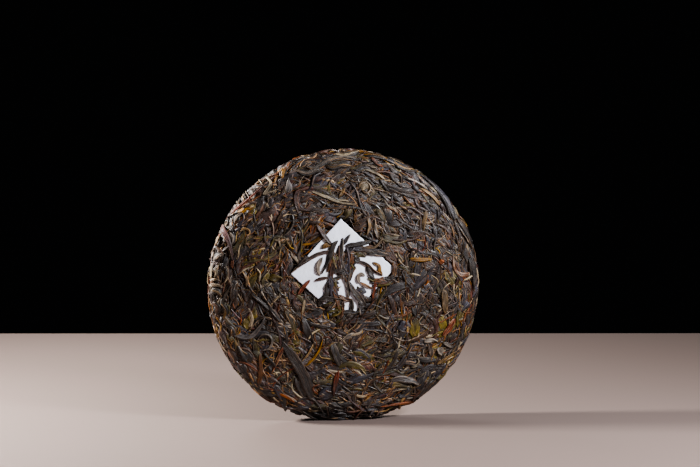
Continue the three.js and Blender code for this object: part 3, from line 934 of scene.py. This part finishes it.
# The ones that stand out on the left, the right and the top of the rim. Each gets a dark leaf under it, as
# painted shade along its sides.
RIM_LEAVES = [
    ("grey", 1.8, 2.7, -76.9, 59.8, -76.4, 63.9, -74.3, 66.8),
    ("tan", 1.6, 2.7, -73.5, 60.6, -74.3, 63.1, -73.5, 65.9),
    ("cream", 1.6, 2.7, -71.4, 71.3, -72.3, 68.0, -70.5, 63.9),
    ("grey", 1.8, 2.5, -68.9, 68.8, -67.6, 64.7, -68.5, 62.2),
    ("cream", 1.6, 2.5, -63.8, 77.1, -62.2, 75.4, -60.5, 72.9),
    ("grey", 2.2, 2.1, -81.8, 45.8, -79.8, 49.9, -76.4, 52.4),
    ("tan", 1.8, 2.5, -94.8, 27.6, -93.1, 31.8, -91.4, 35.0),
    ("brown", 1.8, 2.5, -99.0, 17.0, -98.1, 21.9, -95.7, 26.8),
    ("grey", 2.4, 2.3, -96.5, 17.0, -93.9, 20.2, -89.8, 22.7),
    ("cream", 2.0, 2.7, -83.1, 58.1, -80.6, 60.6, -78.1, 59.0),
    ("ash", 2.4, 2.5, -68.9, 74.6, -65.6, 75.4, -62.2, 78.7),
    ("tan", 2.0, 2.3, -57.2, 82.8, -52.2, 84.5, -47.2, 86.9),
    ("ochre", 2.0, 2.1, -45.9, 77.9, -45.5, 81.2, -43.8, 84.3),
    ("tan", 1.6, 2.4, -86.6, 53.0, -85.6, 47.2, -87.6, 42.2),
    ("brown", 1.8, 2.4, -89.6, 49.0, -90.6, 44.6, -92.8, 40.4),
    ("grey", 1.8, 2.2, -85.4, 38.4, -83.2, 34.0, -84.4, 29.0),
    ("cream", 1.6, 2.4, -95.8, 12.6, -94.8, 8.0, -96.4, 5.0),
    ("tan", 1.7, 2.4, -98.6, -4.2, -94.4, -5.8, -91.6, -9.0),
    ("brown", 1.8, 2.3, -97.4, -13.0, -94.6, -17.2, -94.9, -22.4),
    ("ochre", 1.6, 2.2, -91.8, -14.4, -89.0, -19.6, -90.2, -25.6),
    ("slate", 2.6, 2.2, 58.0, 79.5, 68.0, 71.5, 77.6, 59.8, 83.0, 47.0),
    ("coal", 2.6, 2.3, 84.5, 48.5, 91.0, 38.0, 95.5, 26.0),
    ("slate", 2.2, 2.1, 30.0, 92.0, 42.0, 87.5, 54.0, 80.5),
    ("coal", 2.4, 2.2, 94.4, 20.0, 97.0, 8.0, 97.2, -4.0),
    ("tan", 1.3, 2.3, 36.5, 90.0, 44.4, 85.5, 55.6, 82.0),
    ("gold", 1.2, 2.3, 88.0, 48.0, 94.0, 37.0, 98.0, 24.0),
    ("cream", 1.4, 2.4, -45.5, 88.5, -32.7, 93.8, -22.9, 97.2, -16.2, 97.2),
    ("tan", 1.4, 2.4, -55.3, 83.7, -49.4, 85.6, -44.4, 89.4, -35.7, 92.3, -26.0, 93.8),
    ("grey", 1.5, 2.2, -27.7, 86.5, -20.9, 86.1, -12.1, 91.4, -4.2, 93.4, 3.6, 93.4, 11.5, 91.4),
    ("cream", 1.3, 2.4, -6.4, 95.3, 1.7, 94.8, 11.5, 97.2),
    ("grey", 1.4, 2.2, -38.7, 84.6, -27.7, 82.2, -20.9, 84.6, -14.1, 83.7),
    ("ochre", 1.3, 2.3, 15.0, 95.0, 24.0, 94.2, 33.0, 91.6),
    ("tan", 1.3, 2.2, -14.0, 88.0, -8.0, 86.6, -1.0, 88.4, 6.0, 87.4),
]


# Materials


def material(name):
    """A new material with a cleared tree, its recipe and its shader."""
    made = bpy.data.materials.new(name)
    made.use_nodes = True
    tree = made.node_tree
    tree.nodes.clear()
    recipe = Recipe(tree)
    shader = recipe.node("ShaderNodeBsdfPrincipled")
    output = recipe.node("ShaderNodeOutputMaterial")
    tree.links.new(shader.outputs["BSDF"], output.inputs["Surface"])
    return made, recipe, shader


def ramp(recipe, value, stops):
    """Colours along a value: stops is a list of (place, colour)."""
    node = recipe.node("ShaderNodeValToRGB", {"Fac": value})
    scale = node.color_ramp
    while len(scale.elements) < len(stops):
        scale.elements.new(0.5)
    for element, (place, tone) in zip(scale.elements, stops):
        element.position = place
        element.color = tone
    return recipe.out(node, "Color")


def mixed(recipe, share, first, second, blend="MIX"):
    inputs = {"Factor_Float": share, "A_Color": first, "B_Color": second}
    return recipe.field("ShaderNodeMix", "Result_Color", inputs, data_type="RGBA", blend_type=blend)


def attribute(recipe, name, output="Vector"):
    return recipe.field("ShaderNodeAttribute", output, attribute_name=name)


def bump(recipe, shader, height, strength, distance):
    """Gives a shader's surface a fine relief."""
    inputs = {"Height": height, "Strength": strength, "Distance": distance}
    normal = recipe.field("ShaderNodeBump", "Normal", inputs)
    recipe.plug(shader.inputs["Normal"], normal)


def leaf_material(name, stops=None, gloss=0.46, down=0.0, streak=0.7):
    """Dried leaf: a tone for each leaf with dark blotches, streaks along it (the dark ones painted shade in the
    fine grooves, the pale ones partly the leaf's own tint and partly painted highlight on the ridges), pale
    down, painted shade down its middle groove, pale edges that are partly its own and partly painted highlight,
    and painted shade where it lies deep between other leaves.
    """
    made, recipe, shader = material(name)
    grain = attribute(recipe, "leaf_grain")
    _, across, tint = recipe.split(attribute(recipe, "leaf_place"))
    if stops:
        tone = ramp(recipe, tint, stops)
    else:
        tone = attribute(recipe, "leaf_colour", "Color")
    side, length, leaf = recipe.split(grain)
    shade = recipe.noise(recipe.field("ShaderNodeTexCoord", "Object"), 55.0, 2.0)
    tone = mixed(recipe, recipe.smooth(shade, 0.6, 0.38) * 0.7, tone, colour(30, 25, 23))
    stretched = recipe.join(side * 950.0, length * 90.0, leaf * 900.0)
    fibre = recipe.noise(stretched, 1.0, 3.0, 0.6)
    blotched = recipe.noise(recipe.join(side * 300.0, length * 260.0, leaf * 700.0), 1.0, 3.0, 0.55)
    crumb = recipe.noise(recipe.field("ShaderNodeTexCoord", "Object"), 2600.0, 2.0)
    black = (0.008, 0.006, 0.005, 1.0)
    darker = mixed(recipe, 0.75, tone, black)
    # Glint colours, warm or cool for each leaf, mixed in as painted highlight.
    cool = recipe.smooth(recipe.noise(leaf * 4100.0, 1.0), 0.4, 0.6)
    glint = mixed(recipe, cool, TONES["warm_glint"], TONES["cool_glint"])
    # Which leaves get strong pale streaks and edges: partly their own paler tint and partly painted highlight.
    tinted_glinting_leaf = recipe.smooth(recipe.noise(leaf * 2300.0 + 7.0, 1.0), 0.5, 0.62)
    tint_and_glint = mixed(recipe, tinted_glinting_leaf * 0.4 + 0.35, tone, glint)
    body = mixed(recipe, recipe.smooth(blotched, 0.34, 0.62), darker, mixed(recipe, 0.2, tone, black))
    # Dark lines between the fibre ridges: painted shade in the fine grooves that the bump also makes.
    body = mixed(recipe, recipe.smooth(fibre, 0.47, 0.38) * 0.8, body, darker)
    # Pale lines on the fibre ridges: partly the leaf's own tint and partly painted highlight.
    body = mixed(recipe, recipe.smooth(fibre, 0.55, 0.63) * (tinted_glinting_leaf * 0.6 + 0.4) * streak, body, tint_and_glint)
    edge = recipe.math("ABSOLUTE", across)
    # Darker down the middle of the leaf: painted shade in its groove.
    body = mixed(recipe, recipe.smooth(edge, 0.42, 0.0) * 0.6, body, darker)
    # Pale edges: partly the dried leaf's own and partly painted highlight.
    pale_edge_glint = recipe.smooth(edge, 0.84, 0.97) * recipe.smooth(blotched, 0.42, 0.56)
    body = mixed(recipe, pale_edge_glint * (tinted_glinting_leaf * 0.65 + 0.15), body, tint_and_glint)
    if down:
        hair = recipe.smooth(recipe.noise(stretched * 2.2, 1.0, 4.0, 0.7), 0.45, 0.62)
        body = mixed(recipe, hair * down, body, TONES["cream"])
    body = recipe.field("ShaderNodeHueSaturation", "Color", {"Saturation": 1.15, "Color": body})
    # Painted shade: darker where the leaf lies deep below the pressed top, in the gaps between leaves.
    height = attribute(recipe, "leaf_height", "Fac")
    body = mixed(recipe, recipe.smooth(height, -0.0001, -0.0016) * 0.9, body, black)
    recipe.plug(shader.inputs["Base Color"], body)
    shine = recipe.smooth(blotched, 0.3, 0.7, gloss - 0.14, gloss + 0.16)
    recipe.plug(shader.inputs["Roughness"], shine)
    shader.inputs["Specular IOR Level"].default_value = 0.5
    relief = fibre * 0.8 + blotched * 0.4 + crumb * 0.1
    bump(recipe, shader, relief, 0.7, 0.0008)
    return made


def core_material():
    made, recipe, shader = material("packed tea dust")
    place = recipe.field("ShaderNodeTexCoord", "Object")
    crumbs = recipe.noise(place, 900.0, 4.0, 0.65)
    dark = [(0.38, colour(18, 14, 12)), (0.52, colour(52, 36, 22))]
    pale = [(0.62, colour(104, 76, 36)), (0.74, colour(150, 116, 66))]
    body = ramp(recipe, crumbs, dark + pale)
    recipe.plug(shader.inputs["Base Color"], body)
    shader.inputs["Roughness"].default_value = 0.8
    bump(recipe, shader, crumbs, 0.8, 0.0008)
    return made


def paper_material():
    """Thin cotton paper: faint fibres and creases, a little light through it."""
    made, recipe, shader = material("ticket paper")
    place = recipe.field("ShaderNodeTexCoord", "Object")
    fibres = recipe.noise(place, 1800.0, 3.0, 0.6, 1.5)
    clouds = recipe.noise(place, 90.0, 3.0)
    creases = recipe.noise(place, 240.0, 2.0, 0.5, 0.8)
    body = ramp(recipe, clouds, [(0.3, colour(235, 239, 255)), (0.7, colour(243, 246, 255))])
    body = mixed(recipe, recipe.smooth(fibres, 0.6, 0.8) * 0.2, body, colour(214, 214, 224))
    recipe.plug(shader.inputs["Base Color"], body)
    shader.inputs["Roughness"].default_value = 0.72
    shader.inputs["Subsurface Weight"].default_value = 0.12
    shader.inputs["Subsurface Radius"].default_value = (0.002, 0.002, 0.002)
    bump(recipe, shader, fibres * 0.3 + creases * 1.2, 0.5, 0.0005)
    return made


def floor_material(tone):
    made, recipe, shader = material("pale floor")
    place = recipe.field("ShaderNodeTexCoord", "Object")
    clouds = recipe.noise(place, 3.0, 3.0)
    body = mixed(recipe, clouds * 0.2, tone, (tone[0] * 0.8, tone[1] * 0.8, tone[2] * 0.8, 1.0))
    recipe.plug(shader.inputs["Base Color"], body)
    shader.inputs["Roughness"].default_value = 0.62
    return made


def stops(tones, places):
    """A ramp's stops: the names of its tones in one text, and the place of each."""
    return [(place, TONES[name]) for name, place in zip(tones.split(), places)]


STRIP_STOPS = stops(
    "coal coal slate umber plum brown slate moss ochre umber tan",
    (0.0, 0.36, 0.46, 0.56, 0.66, 0.78, 0.84, 0.91, 0.95, 0.97, 1.0),
)
FLAKE_STOPS = stops("coal slate umber coal moss olive", (0.0, 0.35, 0.6, 0.78, 0.9, 1.0))
STEM_STOPS = stops("umber brown rust ochre rust", (0.0, 0.35, 0.65, 0.9, 1.0))
CRUMB_STOPS = stops("coal umber moss coal brown ochre tan", (0.0, 0.4, 0.55, 0.65, 0.8, 0.92, 1.0))
THREAD_STOPS = stops(
    "brown ochre rust brown tan orange gold cream",
    (0.0, 0.25, 0.4, 0.5, 0.65, 0.78, 0.88, 1.0),
)
BUD_STOPS = stops("grey tan grey cream", (0.0, 0.45, 0.75, 1.0))

# What each kind of leaf is like. Lengths are in millimetres and angles in radians.
KINDS = {
    "strip": {
        "Sides": 8, "Rings": 9, "Shortest": 14, "Longest": 42, "Narrowest": 1.1, "Widest": 5.6,
        "Thickness": 1.8, "Bend": 0.9, "Hook": 2.0, "Wiggle": 0.1, "Twist": 2.8, "Roll": 1.3, "Curl": 0.6,
        "Groove": 0.75, "Ragged": 0.9, "Lean": 0.3, "Bluntness": 3.0, "Lowest": -2.0, "Highest": 0.1,
        "Wave": 2.2, "Dip": 1.1, "Flow": 0.35, "Along rim": 0.65, "Ticket margin": 0.3, "Ceiling": 0.75,
    },
    "flake": {
        "Sides": 8, "Rings": 7, "Shortest": 10, "Longest": 24, "Narrowest": 4.0, "Widest": 13,
        "Thickness": 0.9, "Bend": 0.3, "Hook": 0.4, "Wiggle": 0.04, "Twist": 0.8, "Roll": 0.35, "Curl": 0.3,
        "Groove": 0.8, "Ragged": 1.2, "Lean": 0.3, "Bluntness": 2.4, "Lowest": -1.0, "Highest": 0.3,
        "Wave": 1.6, "Dip": 0.8, "Flow": 0.4, "Along rim": 0.7, "Ticket margin": 0.3, "Ceiling": 0.7,
    },
    "stem": {
        "Sides": 6, "Rings": 8, "Shortest": 14, "Longest": 34, "Narrowest": 0.9, "Widest": 1.8,
        "Thickness": 1.1, "Bend": 0.15, "Hook": 0.3, "Wiggle": 0.03, "Twist": 0.5, "Roll": 1.0, "Curl": 0.1,
        "Groove": 0.2, "Ragged": 0.35, "Lean": 0.25, "Bluntness": 6.0, "Lowest": -0.2, "Highest": 0.7,
        "Wave": 0.8, "Dip": 0.7, "Flow": 0.4, "Along rim": 0.8, "Ticket margin": 0.6, "Ceiling": 1.0,
    },
    "crumb": {
        "Sides": 5, "Rings": 3, "Shortest": 2, "Longest": 7, "Narrowest": 0.7, "Widest": 2.0,
        "Thickness": 0.9, "Bend": 0.3, "Hook": 0.5, "Wiggle": 0.05, "Twist": 1.0, "Roll": 1.2, "Curl": 0.2,
        "Groove": 0.2, "Ragged": 0.9, "Lean": 0.5, "Bluntness": 3.0, "Lowest": -1.9, "Highest": -0.3,
        "Wave": 0.5, "Dip": 0.4, "Flow": 0.0, "Along rim": 0.3, "Ceiling": 0.8, "Ticket margin": 0.3,
    },
    "bud": {
        "Sides": 7, "Rings": 8, "Shortest": 8, "Longest": 20, "Narrowest": 1.2, "Widest": 2.9,
        "Thickness": 1.3, "Bend": 0.4, "Hook": 1.4, "Wiggle": 0.05, "Twist": 0.7, "Roll": 0.6, "Curl": 0.2,
        "Groove": 0.35, "Ragged": 0.4, "Lean": 0.5, "Bluntness": 2.4, "Lowest": 0.1, "Highest": 0.7,
        "Wave": 0.9, "Dip": 0.8, "Flow": 0.3, "Along rim": 0.75, "Ticket margin": 0.6, "Ceiling": 1.0,
    },
}
KINDS["flake_over"] = KINDS["flake"] | {"Lowest": 0.1, "Highest": 0.9, "Widest": 10.0, "Ceiling": 1.0}
KINDS["rim_flake"] = KINDS["flake"] | {
    "Longest": 16, "Widest": 8.0, "Along rim": 0.4, "Lowest": -2.6, "Highest": -1.2,
}
KINDS["rim_crumb"] = KINDS["crumb"] | {"Lowest": -3.0, "Highest": -1.4}
KINDS["rim_strip"] = KINDS["strip"] | {
    "Shortest": 8, "Longest": 24, "Narrowest": 1.5, "Widest": 4.2, "Thickness": 2.0, "Bend": 1.4, "Hook": 2.6,
    "Twist": 3.0, "Along rim": 0.15, "Lowest": -2.8, "Highest": -1.0, "Wave": 1.2, "Ceiling": 1.2,
}
KINDS["strip_over"] = KINDS["strip"] | {"Lowest": -0.8, "Highest": 1.0}
KINDS["rim_strip_over"] = KINDS["rim_strip"] | {"Lowest": -1.2, "Highest": 0.5}
KINDS["thread"] = KINDS["strip"] | {
    "Sides": 4, "Rings": 8, "Shortest": 7, "Longest": 26, "Narrowest": 0.5, "Widest": 1.3, "Thickness": 0.8,
    "Curl": 0.0, "Groove": 0.0, "Lowest": 0.2, "Highest": 1.0, "Wave": 1.2, "Ceiling": 1.0,
}
KINDS["rim_thread"] = KINDS["thread"] | {"Lowest": -1.2, "Highest": 0.4}
KINDS["back_strip"] = KINDS["strip"] | {"Sides": 6, "Rings": 8, "Lowest": -1.7, "Highest": 1.0}
COUNTS = ("Seed", "Sides", "Rings")
IN_MM = {
    "Shortest", "Longest", "Narrowest", "Widest", "Thickness", "Lowest", "Highest", "Wave", "Dip", "Ceiling",
    "Ticket margin",
}

# The sides of the cake, as limits on how far a place faces the front.
FACE_SIDE = (0.7, 1.01)
RIM_SIDE = (-0.7, 0.7)
BACK_SIDE = (-1.01, -0.7)

# Each layer: its name, kind, material, the side it covers, its spacing in millimetres and its seed.
LAYERS = [
    ("face_flakes", "flake", "flake", FACE_SIDE, 5.0, 11),
    ("face_strips", "strip", "strip", FACE_SIDE, 4.2, 12),
    ("face_strips_over", "strip_over", "strip", FACE_SIDE, 5.2, 13),
    ("face_flakes_over", "flake_over", "flake", FACE_SIDE, 6.5, 17),
    ("face_threads", "thread", "thread", FACE_SIDE, 3.8, 18),
    ("face_stems", "stem", "stem", FACE_SIDE, 11.0, 14),
    ("face_buds", "bud", "bud", FACE_SIDE, 13.0, 15),
    ("face_crumbs", "crumb", "crumb", FACE_SIDE, 2.5, 16),
    ("rim_flakes", "rim_flake", "flake", RIM_SIDE, 5.0, 22),
    ("rim_strips", "rim_strip", "strip", RIM_SIDE, 4.0, 21),
    ("rim_strips_over", "rim_strip_over", "strip", RIM_SIDE, 5.4, 25),
    ("rim_threads", "rim_thread", "thread", RIM_SIDE, 5.0, 27),
    ("rim_stems", "stem", "stem", RIM_SIDE, 9.0, 23),
    ("rim_buds", "bud", "bud", RIM_SIDE, 14.0, 24),
    ("rim_crumbs", "rim_crumb", "crumb", RIM_SIDE, 3.4, 26),
    ("back_flakes", "flake", "flake", BACK_SIDE, 5.8, 31),
    ("back_strips", "back_strip", "strip", BACK_SIDE, 4.0, 32),
    ("back_stems", "stem", "stem", BACK_SIDE, 10.5, 33),
    ("back_buds", "bud", "bud", BACK_SIDE, 12.0, 34),
    ("back_crumbs", "crumb", "crumb", BACK_SIDE, 3.5, 35),
]


def layer_values(kind, side, spacing, seed, leaf_look):
    """The inputs of one layer, in metres."""
    values = {name: (value * MM if name in IN_MM else value) for name, value in KINDS[kind].items()}
    values["Spacing"] = spacing * MM
    values["Facing from"], values["Facing to"] = side
    values["Seed"] = seed
    values["Material"] = leaf_look
    kept = {*COUNTS, "Material"}
    return {name: (value if name in kept else float(value)) for name, value in values.items()}


# Settings


class TeaSizes(bpy.types.PropertyGroup):
    """The cake's sizes."""

    rim_radius: FloatProperty(
        name="Rim radius", description="From the axis to the rim", default=0.0993, unit="LENGTH"
    )
    face_radius: FloatProperty(
        name="Face radius", description="Where the dome ends", default=0.086, unit="LENGTH"
    )
    face_height: FloatProperty(
        name="Face height", description="Back to dome", default=0.0234, unit="LENGTH"
    )
    dome_drop: FloatProperty(
        name="Dome drop", description="How far the dome falls", default=0.0036, unit="LENGTH"
    )
    dimple_radius: FloatProperty(
        name="Dimple radius", description="Hollow in the back", default=0.033, unit="LENGTH"
    )
    dimple_depth: FloatProperty(
        name="Dimple depth", description="Depth of the hollow", default=0.008, unit="LENGTH"
    )
    core_inset: FloatProperty(
        name="Core inset", description="Core under the bed", default=0.0024, unit="LENGTH"
    )
    ticket_side: FloatProperty(
        name="Ticket side", description="The paper's side", default=0.0538, unit="LENGTH"
    )


class TeaStudio(bpy.types.PropertyGroup):
    """The studio's light and floor."""

    key_power: FloatProperty(
        name="Key light", description="Soft light from the left", default=15.0, unit="POWER"
    )
    face_power: FloatProperty(
        name="Face light", description="Soft light on the face", default=6.3, unit="POWER"
    )
    back_power: FloatProperty(
        name="Back light", description="Soft light from behind", default=2.0, unit="POWER"
    )
    floor_tone: FloatVectorProperty(
        name="Floor", description="Its colour", default=colour(122, 107, 101)[:3], size=3, subtype="COLOR"
    )


# Operators


class TEA_OT_studio(bpy.types.Operator):
    """Sets the camera, the lights, the floor and the surroundings"""

    bl_idname = "tea.studio"
    bl_label = "Studio"

    def execute(self, context):
        studio = context.scene.tea_studio
        place_camera()
        area_light("key light", (-0.58, 0.1, 0.38), (0.08, 0.08), studio.key_power, (1.0, 0.97, 0.94))
        area_light("face light", (0.36, -0.38, 0.39), (0.1, 0.1), studio.face_power, (0.95, 0.96, 1.0))
        area_light("back light", (-0.25, 0.5, 0.5), (0.3, 0.2), studio.back_power, (1.0, 0.97, 0.95))
        tone = (*studio.floor_tone, 1.0)
        floor = table_top("floor", floor_material(tone), wide=2.6, near=-1.0, far=0.46)
        surroundings()
        return {"FINISHED"}


def place_camera():
    """Stands the camera where the photograph was taken, looking a little above the cake's middle."""
    data = bpy.data.cameras.new("photo camera")
    data.lens = LENS_MM
    data.sensor_width = SENSOR_MM
    data.clip_end = 20
    camera = placed("photo camera", data)
    camera.location = camera_place()
    camera.rotation_euler = (math.pi / 2 - CAMERA_PITCH, 0.0, CAMERA_AZIMUTH - CAMERA_PAN)
    bpy.context.scene.camera = camera
    bpy.context.scene.view_settings.look = "AgX - Medium High Contrast"


def area_light(name, place, size, power, tone):
    """A soft light that looks at the middle of the cake."""
    data = bpy.data.lights.new(name, "AREA")
    data.shape = "RECTANGLE"
    data.size, data.size_y = size
    data.energy = power
    data.color = tone
    light = placed(name, data)
    light.location = place
    light.rotation_euler = (Vector(LIGHTS_AIM) - Vector(place)).to_track_quat("-Z", "Y").to_euler()


def table_top(name, look, wide, near, far):
    """A flat sheet whose edges run along the camera's view and across it."""
    corners = [(-wide / 2, near), (wide / 2, near), (wide / 2, far), (-wide / 2, far)]
    cosine, sine = math.cos(CAMERA_AZIMUTH), math.sin(CAMERA_AZIMUTH)
    mesh = bpy.data.meshes.new(name)
    points = [(x * cosine - y * sine, x * sine + y * cosine, 0.0) for x, y in corners]
    mesh.from_pydata(points, [], [(0, 1, 2, 3)])
    mesh.materials.append(look)
    return placed(name, mesh)


def surroundings():
    """A dim even room: dark to the camera, a little lighter for what it lights."""
    world = bpy.data.worlds.new("room")
    world.use_nodes = True
    recipe = Recipe(world.node_tree)
    world.node_tree.nodes.clear()
    seen = recipe.field("ShaderNodeLightPath", "Is Camera Ray")
    strength = ROOM_LIGHT - seen * ROOM_HIDDEN
    light = recipe.node("ShaderNodeBackground", {"Color": (0.92, 0.95, 1.0, 1.0), "Strength": strength})
    output = recipe.node("ShaderNodeOutputWorld")
    world.node_tree.links.new(light.outputs["Background"], output.inputs["Surface"])
    bpy.context.scene.world = world


class TEA_OT_core(bpy.types.Operator):
    """Makes the dark core that shows between the leaves"""

    bl_idname = "tea.core"
    bl_label = "Core"

    def execute(self, context):
        sizes = context.scene.tea_sizes
        values = {"Inset": sizes.core_inset, "Lump": 0.0012, "Material": core_material()}
        core = modified("pressed_core", section_mesh(sizes), core_tree(), values)
        keep(core, "tea_cake")
        return {"FINISHED"}


class TEA_OT_leaves(bpy.types.Operator):
    """Scatters the leaves of every layer over the face, the rim and the back"""

    bl_idname = "tea.leaves"
    bl_label = "Leaves"

    def execute(self, context):
        sizes = context.scene.tea_sizes
        looks = {
            "strip": leaf_material("rolled leaf", STRIP_STOPS),
            "flake": leaf_material("broad leaf", FLAKE_STOPS, gloss=0.5),
            "stem": leaf_material("leaf stem", STEM_STOPS, gloss=0.42, streak=0.3),
            "bud": leaf_material("downy bud", BUD_STOPS, gloss=0.6, down=0.6),
            "crumb": leaf_material("broken leaf", CRUMB_STOPS, gloss=0.55),
            "thread": leaf_material("leaf thread", THREAD_STOPS, gloss=0.5, streak=0.4),
        }
        tree = layer_tree(sizes)
        for name, kind, look, side, spacing, seed in LAYERS:
            values = layer_values(kind, side, spacing, seed, looks[look])
            layer = modified(name, section_mesh(sizes), tree, values)
            keep(layer)
        return {"FINISHED"}


class TEA_OT_laid(bpy.types.Operator):
    """Lays the leaves that cross the ticket and the ones that stand out on the face and the rim"""

    bl_idname = "tea.laid"
    bl_label = "Laid leaves"

    def execute(self, context):
        sizes = context.scene.tea_sizes
        line = placed("cake_section_line", section_mesh(sizes))
        look = leaf_material("laid leaf", gloss=0.5, streak=0.72)
        tree = laid_tree()
        kinds = (
            ("ticket_leaves", TICKET_LEAVES, 5, 12, 16),
            ("matted_leaves", matted_leaves(), 7, 8, 7),
            ("face_leaves", FACE_LEAVES, 6, 12, 16),
            ("rim_leaves", with_painted_shade(RIM_LEAVES), 9, 10, 12),
        )
        for name, leaves, seed, sides, rings in kinds:
            values = {"Seed": seed, "Sides": sides, "Rings": rings, "Material": look}
            piece = modified(name, laid_lines(leaves), tree, values)
            keep(piece)
        bpy.data.objects.remove(line)
        return {"FINISHED"}


class TEA_OT_ticket(bpy.types.Operator):
    """Lays the paper ticket on the face"""

    bl_idname = "tea.ticket"
    bl_label = "Ticket"

    def execute(self, context):
        sizes = context.scene.tea_sizes
        ticket = ticket_sheet(sizes)
        keep(ticket, "paper_ticket")
        return {"FINISHED"}


def ticket_sheet(sizes):
    """A square of thin paper that follows the dome, with soft random waves."""
    axis = cake_axis()
    cells = SHEET_CELLS
    right, up = ticket_middle()
    cosine, sine = math.cos(TICKET_TURN), math.sin(TICKET_TURN)
    points = []
    for row in range(cells + 1):
        for column in range(cells + 1):
            u = (column / cells - 0.5) * sizes.ticket_side
            v = (row / cells - 0.5) * sizes.ticket_side
            u += 0.0002 * math.sin(row * 0.9) * abs(u) / sizes.ticket_side
            x = right + u * cosine - v * sine
            z = up + u * sine + v * cosine
            height = sizes.face_height - sizes.dome_drop * (x * x + z * z) / sizes.face_radius**2
            bump = noise.noise((x * 160, z * 160, 3.0)) + 0.4 * noise.noise((x * 420, z * 420, 8.0))
            points.append((axis.x + x, axis.y - height - SHEET_RISE - SHEET_WAVES * bump, axis.z + z))
    faces = []
    for row in range(cells):
        for column in range(cells):
            a = row * (cells + 1) + column
            faces.append((a, a + 1, a + cells + 2, a + cells + 1))
    mesh = bpy.data.meshes.new("ticket")
    mesh.from_pydata(points, [], faces)
    mesh.materials.append(paper_material())
    mesh.polygons.foreach_set("use_smooth", [True] * len(faces))
    ticket = placed("ticket", mesh)
    solid = ticket.modifiers.new("Paper", "SOLIDIFY")
    solid.thickness = SHEET_THICKNESS
    solid.offset = 0
    return ticket


class TEA_PT_panel(bpy.types.Panel):
    """The tea cake's tools"""

    bl_idname = "TEA_PT_panel"
    bl_label = "Tea cake"
    bl_space_type = "VIEW_3D"
    bl_region_type = "UI"
    bl_category = "Tea cake"

    def draw(self, context):
        column = self.layout.column()
        for group in (context.scene.tea_sizes, context.scene.tea_studio):
            for name in group.__annotations__:
                column.prop(group, name)
        for maker in MAKERS:
            column.operator(maker.bl_idname)


GROUPS = {"tea_sizes": TeaSizes, "tea_studio": TeaStudio}
MAKERS = (TEA_OT_studio, TEA_OT_core, TEA_OT_leaves, TEA_OT_laid, TEA_OT_ticket)


def register():
    for group in GROUPS.values():
        bpy.utils.register_class(group)
    for name, group in GROUPS.items():
        setattr(bpy.types.Scene, name, PointerProperty(type=group))
    for maker in MAKERS:
        bpy.utils.register_class(maker)
    bpy.utils.register_class(TEA_PT_panel)


def unregister():
    bpy.utils.unregister_class(TEA_PT_panel)
    for maker in reversed(MAKERS):
        bpy.utils.unregister_class(maker)
    for name, group in GROUPS.items():
        delattr(bpy.types.Scene, name)
        bpy.utils.unregister_class(group)


def main():
    register()
    bpy.ops.tea.studio()
    bpy.ops.tea.core()
    bpy.ops.tea.leaves()
    bpy.ops.tea.laid()
    bpy.ops.tea.ticket()


if __name__ == "__main__":
    main()
